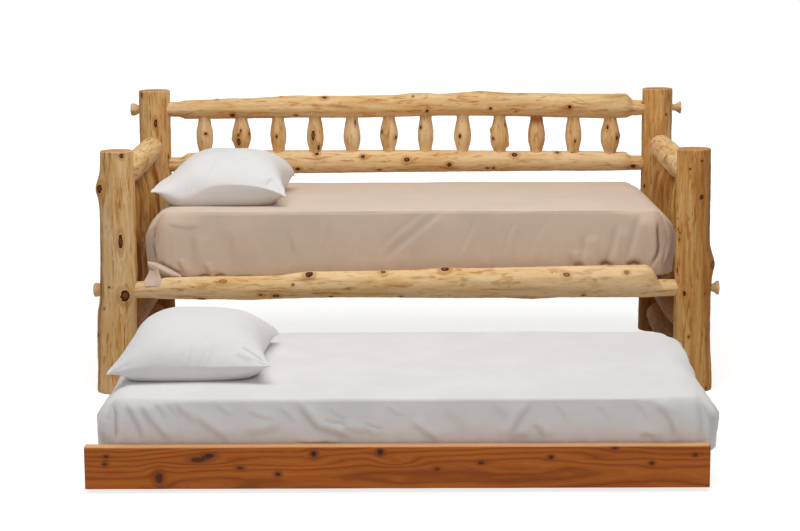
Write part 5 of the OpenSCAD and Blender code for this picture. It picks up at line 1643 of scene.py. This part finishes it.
def pillow_piece(name, node, body, under_it, form, seed):
    """A plump pillow on the mattress: two panels sewn round their edges, drawn in between the corners."""
    low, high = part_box(node)
    middle = middle_and_half(low, high)[0]
    angle = math.radians(form.turned)
    u, v, under, faces = pillow_grid()
    full = plumpness(u, v, form)
    x = form.length / 2 * u * (1 - 0.15 * (1 - v ** 2) * u ** 2)
    y = form.depth / 2 * v * (1 - 0.075 * (1 - u ** 2) * v ** 2)
    mattress = hit_tree(under_it)
    rest = np.zeros(len(u))
    for k in np.nonzero(under)[0]:
        across, back = turned(x[k], y[k], angle)
        above = Vector((middle[0] + across, middle[1] + back, high.z + 0.5))
        rest[k] = mattress.ray_cast(above, Vector((0, 0, -1)))[0].z - low.z + 0.0006
    z = panel_heights(u, v, under, full, high.z - low.z, rest, form)
    for sx, sy, out, down in form.corners:
        pull = np.clip(u * sx, 0, 1) ** 3 * np.clip(v * sy, 0, 1) ** 3
        # The rear corners are blunt
        blunt = 0.014 * (sy > 0) * (np.clip(u * sx, 0, 1) * np.clip(v * sy, 0, 1)) ** 12
        x = x + sx * (out * pull - blunt)
        y = y + sy * (out * pull - blunt)
        z = z - down * pull
    lift = pillow_waves(np.random.default_rng(seed), u, v, x, y, full, form)
    # deep is the painted shade in the creases
    raised, deep = fold_height(x, y, form.creases)
    lift += np.where(under, 0.0, raised)
    lift = np.where(under & (z < rest + 0.004), 0.0, lift)
    # Painted shade on the lower panel, darker where it curves under towards the mattress
    underside_shade = 0.55 * np.clip((0.5 * form.seam - z + rest) / (0.5 * form.seam), 0, 1) ** 2
    points = np.stack([x, y, z], -1)
    points += outward_normals(points, faces) * (lift * looks()[1].fold)[:, None]
    points[:, 0], points[:, 1] = turned(points[:, 0], points[:, 1], angle)
    points += (middle[0], middle[1], low.z)
    cotton = sheeting("case_cotton", looks()[1].cotton)
    piece = new_piece(name, points, faces, cotton, body, "pillow_cotton", [node],
                      deep=np.where(under, underside_shade, deep))
    return piece


class DAYBED_OT_daybed_pillow(bpy.types.Operator):
    """Plump the daybed pillow"""

    bl_idname = "daybed.daybed_pillow"
    bl_label = "Daybed pillow"

    form = PillowForm(0.495, 0.610, 0.092, 0.3, -2, 1.7, 0.050, [
        (-1, -1, -0.008, -0.005), (1, -1, 0.008, 0.014), (-1, 1, -0.095, 0.050), (1, 1, -0.006, 0.012),
    ], [
        (-2.6, 6, [(176, -292), (192, -262), (212, -238)]),
        (2.2, 9, [(150, -285), (172, -262), (196, -250)]),
        (2.0, 10, [(-205, -262), (-190, -225), (-188, -180)]),
        (1.6, 14, [(-60, -270), (-40, -225), (-30, -170)]),
    ])

    def execute(self, context):
        pillow_piece("plump_daybed_pillow", "daybed_pillow", "daybed", "daybed_mattress", self.form, 1)
        return {"FINISHED"}


class DAYBED_OT_trundle_pillow(bpy.types.Operator):
    """Plump the trundle pillow"""

    bl_idname = "daybed.trundle_pillow"
    bl_label = "Trundle pillow"

    form = PillowForm(0.495, 0.610, 0.053, 0.06, 1, 0.80, 0.0, [
        (-1, -1, 0.0, 0.013), (1, -1, 0.0, -0.010), (-1, 1, -0.050, 0.020), (1, 1, 0.008, 0.016),
    ], [
        (-4.0, 5, [(150, -226), (184, -244), (214, -262), (236, -286)]),
        (2.4, 9, [(140, -252), (172, -266), (200, -282)]),
        (1.8, 9, [(-20, -290), (-8, -262), (4, -228)]),
        (1.6, 9, [(14, -288), (32, -258), (44, -226)]),
        (1.8, 10, [(30, -292), (52, -262), (60, -220)]),
    ])

    def execute(self, context):
        piece = pillow_piece("plump_trundle_pillow", "trundle_pillow", "trundle", "trundle_mattress",
                             self.form, 2)
        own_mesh(piece)
        return {"FINISHED"}


# Panel and start

STEPS = (
    DAYBED_OT_stage, DAYBED_OT_posts, DAYBED_OT_rails, DAYBED_OT_spindles, DAYBED_OT_knobs,
    DAYBED_OT_board, DAYBED_OT_hidden_boards, DAYBED_OT_daybed_mattress, DAYBED_OT_sheet_corner,
    DAYBED_OT_trundle_mattress, DAYBED_OT_daybed_pillow, DAYBED_OT_trundle_pillow,
)
SETTINGS = {
    "daybed_wood": DaybedWoodSettings,
    "daybed_cloth": DaybedClothSettings,
    "daybed_stage": DaybedStageSettings,
}


class DAYBED_PT_panel(bpy.types.Panel):
    """Lists the pieces and their settings"""

    bl_idname = "DAYBED_PT_panel"
    bl_label = "Log daybed"
    bl_space_type = "VIEW_3D"
    bl_region_type = "UI"
    bl_category = "Daybed"

    def draw(self, context):
        for step in STEPS:
            self.layout.operator(step.bl_idname)
        for group in looks():
            box = self.layout.box()
            for name in group.bl_rna.properties.keys():
                if name not in {"rna_type", "name"}:
                    box.prop(group, name)


def register():
    for group in (*SETTINGS.values(), *STEPS, DAYBED_PT_panel):
        bpy.utils.register_class(group)
    for name, group in SETTINGS.items():
        setattr(bpy.types.Scene, name, PointerProperty(type=group))


def unregister():
    for name in SETTINGS:
        delattr(bpy.types.Scene, name)
    for group in (DAYBED_PT_panel, *reversed(STEPS), *SETTINGS.values()):
        bpy.utils.unregister_class(group)


def main():
    register()
    for step in STEPS:
        group, name = step.bl_idname.split(".")
        getattr(getattr(bpy.ops, group), name)()


if __name__ == "__main__":
    main()
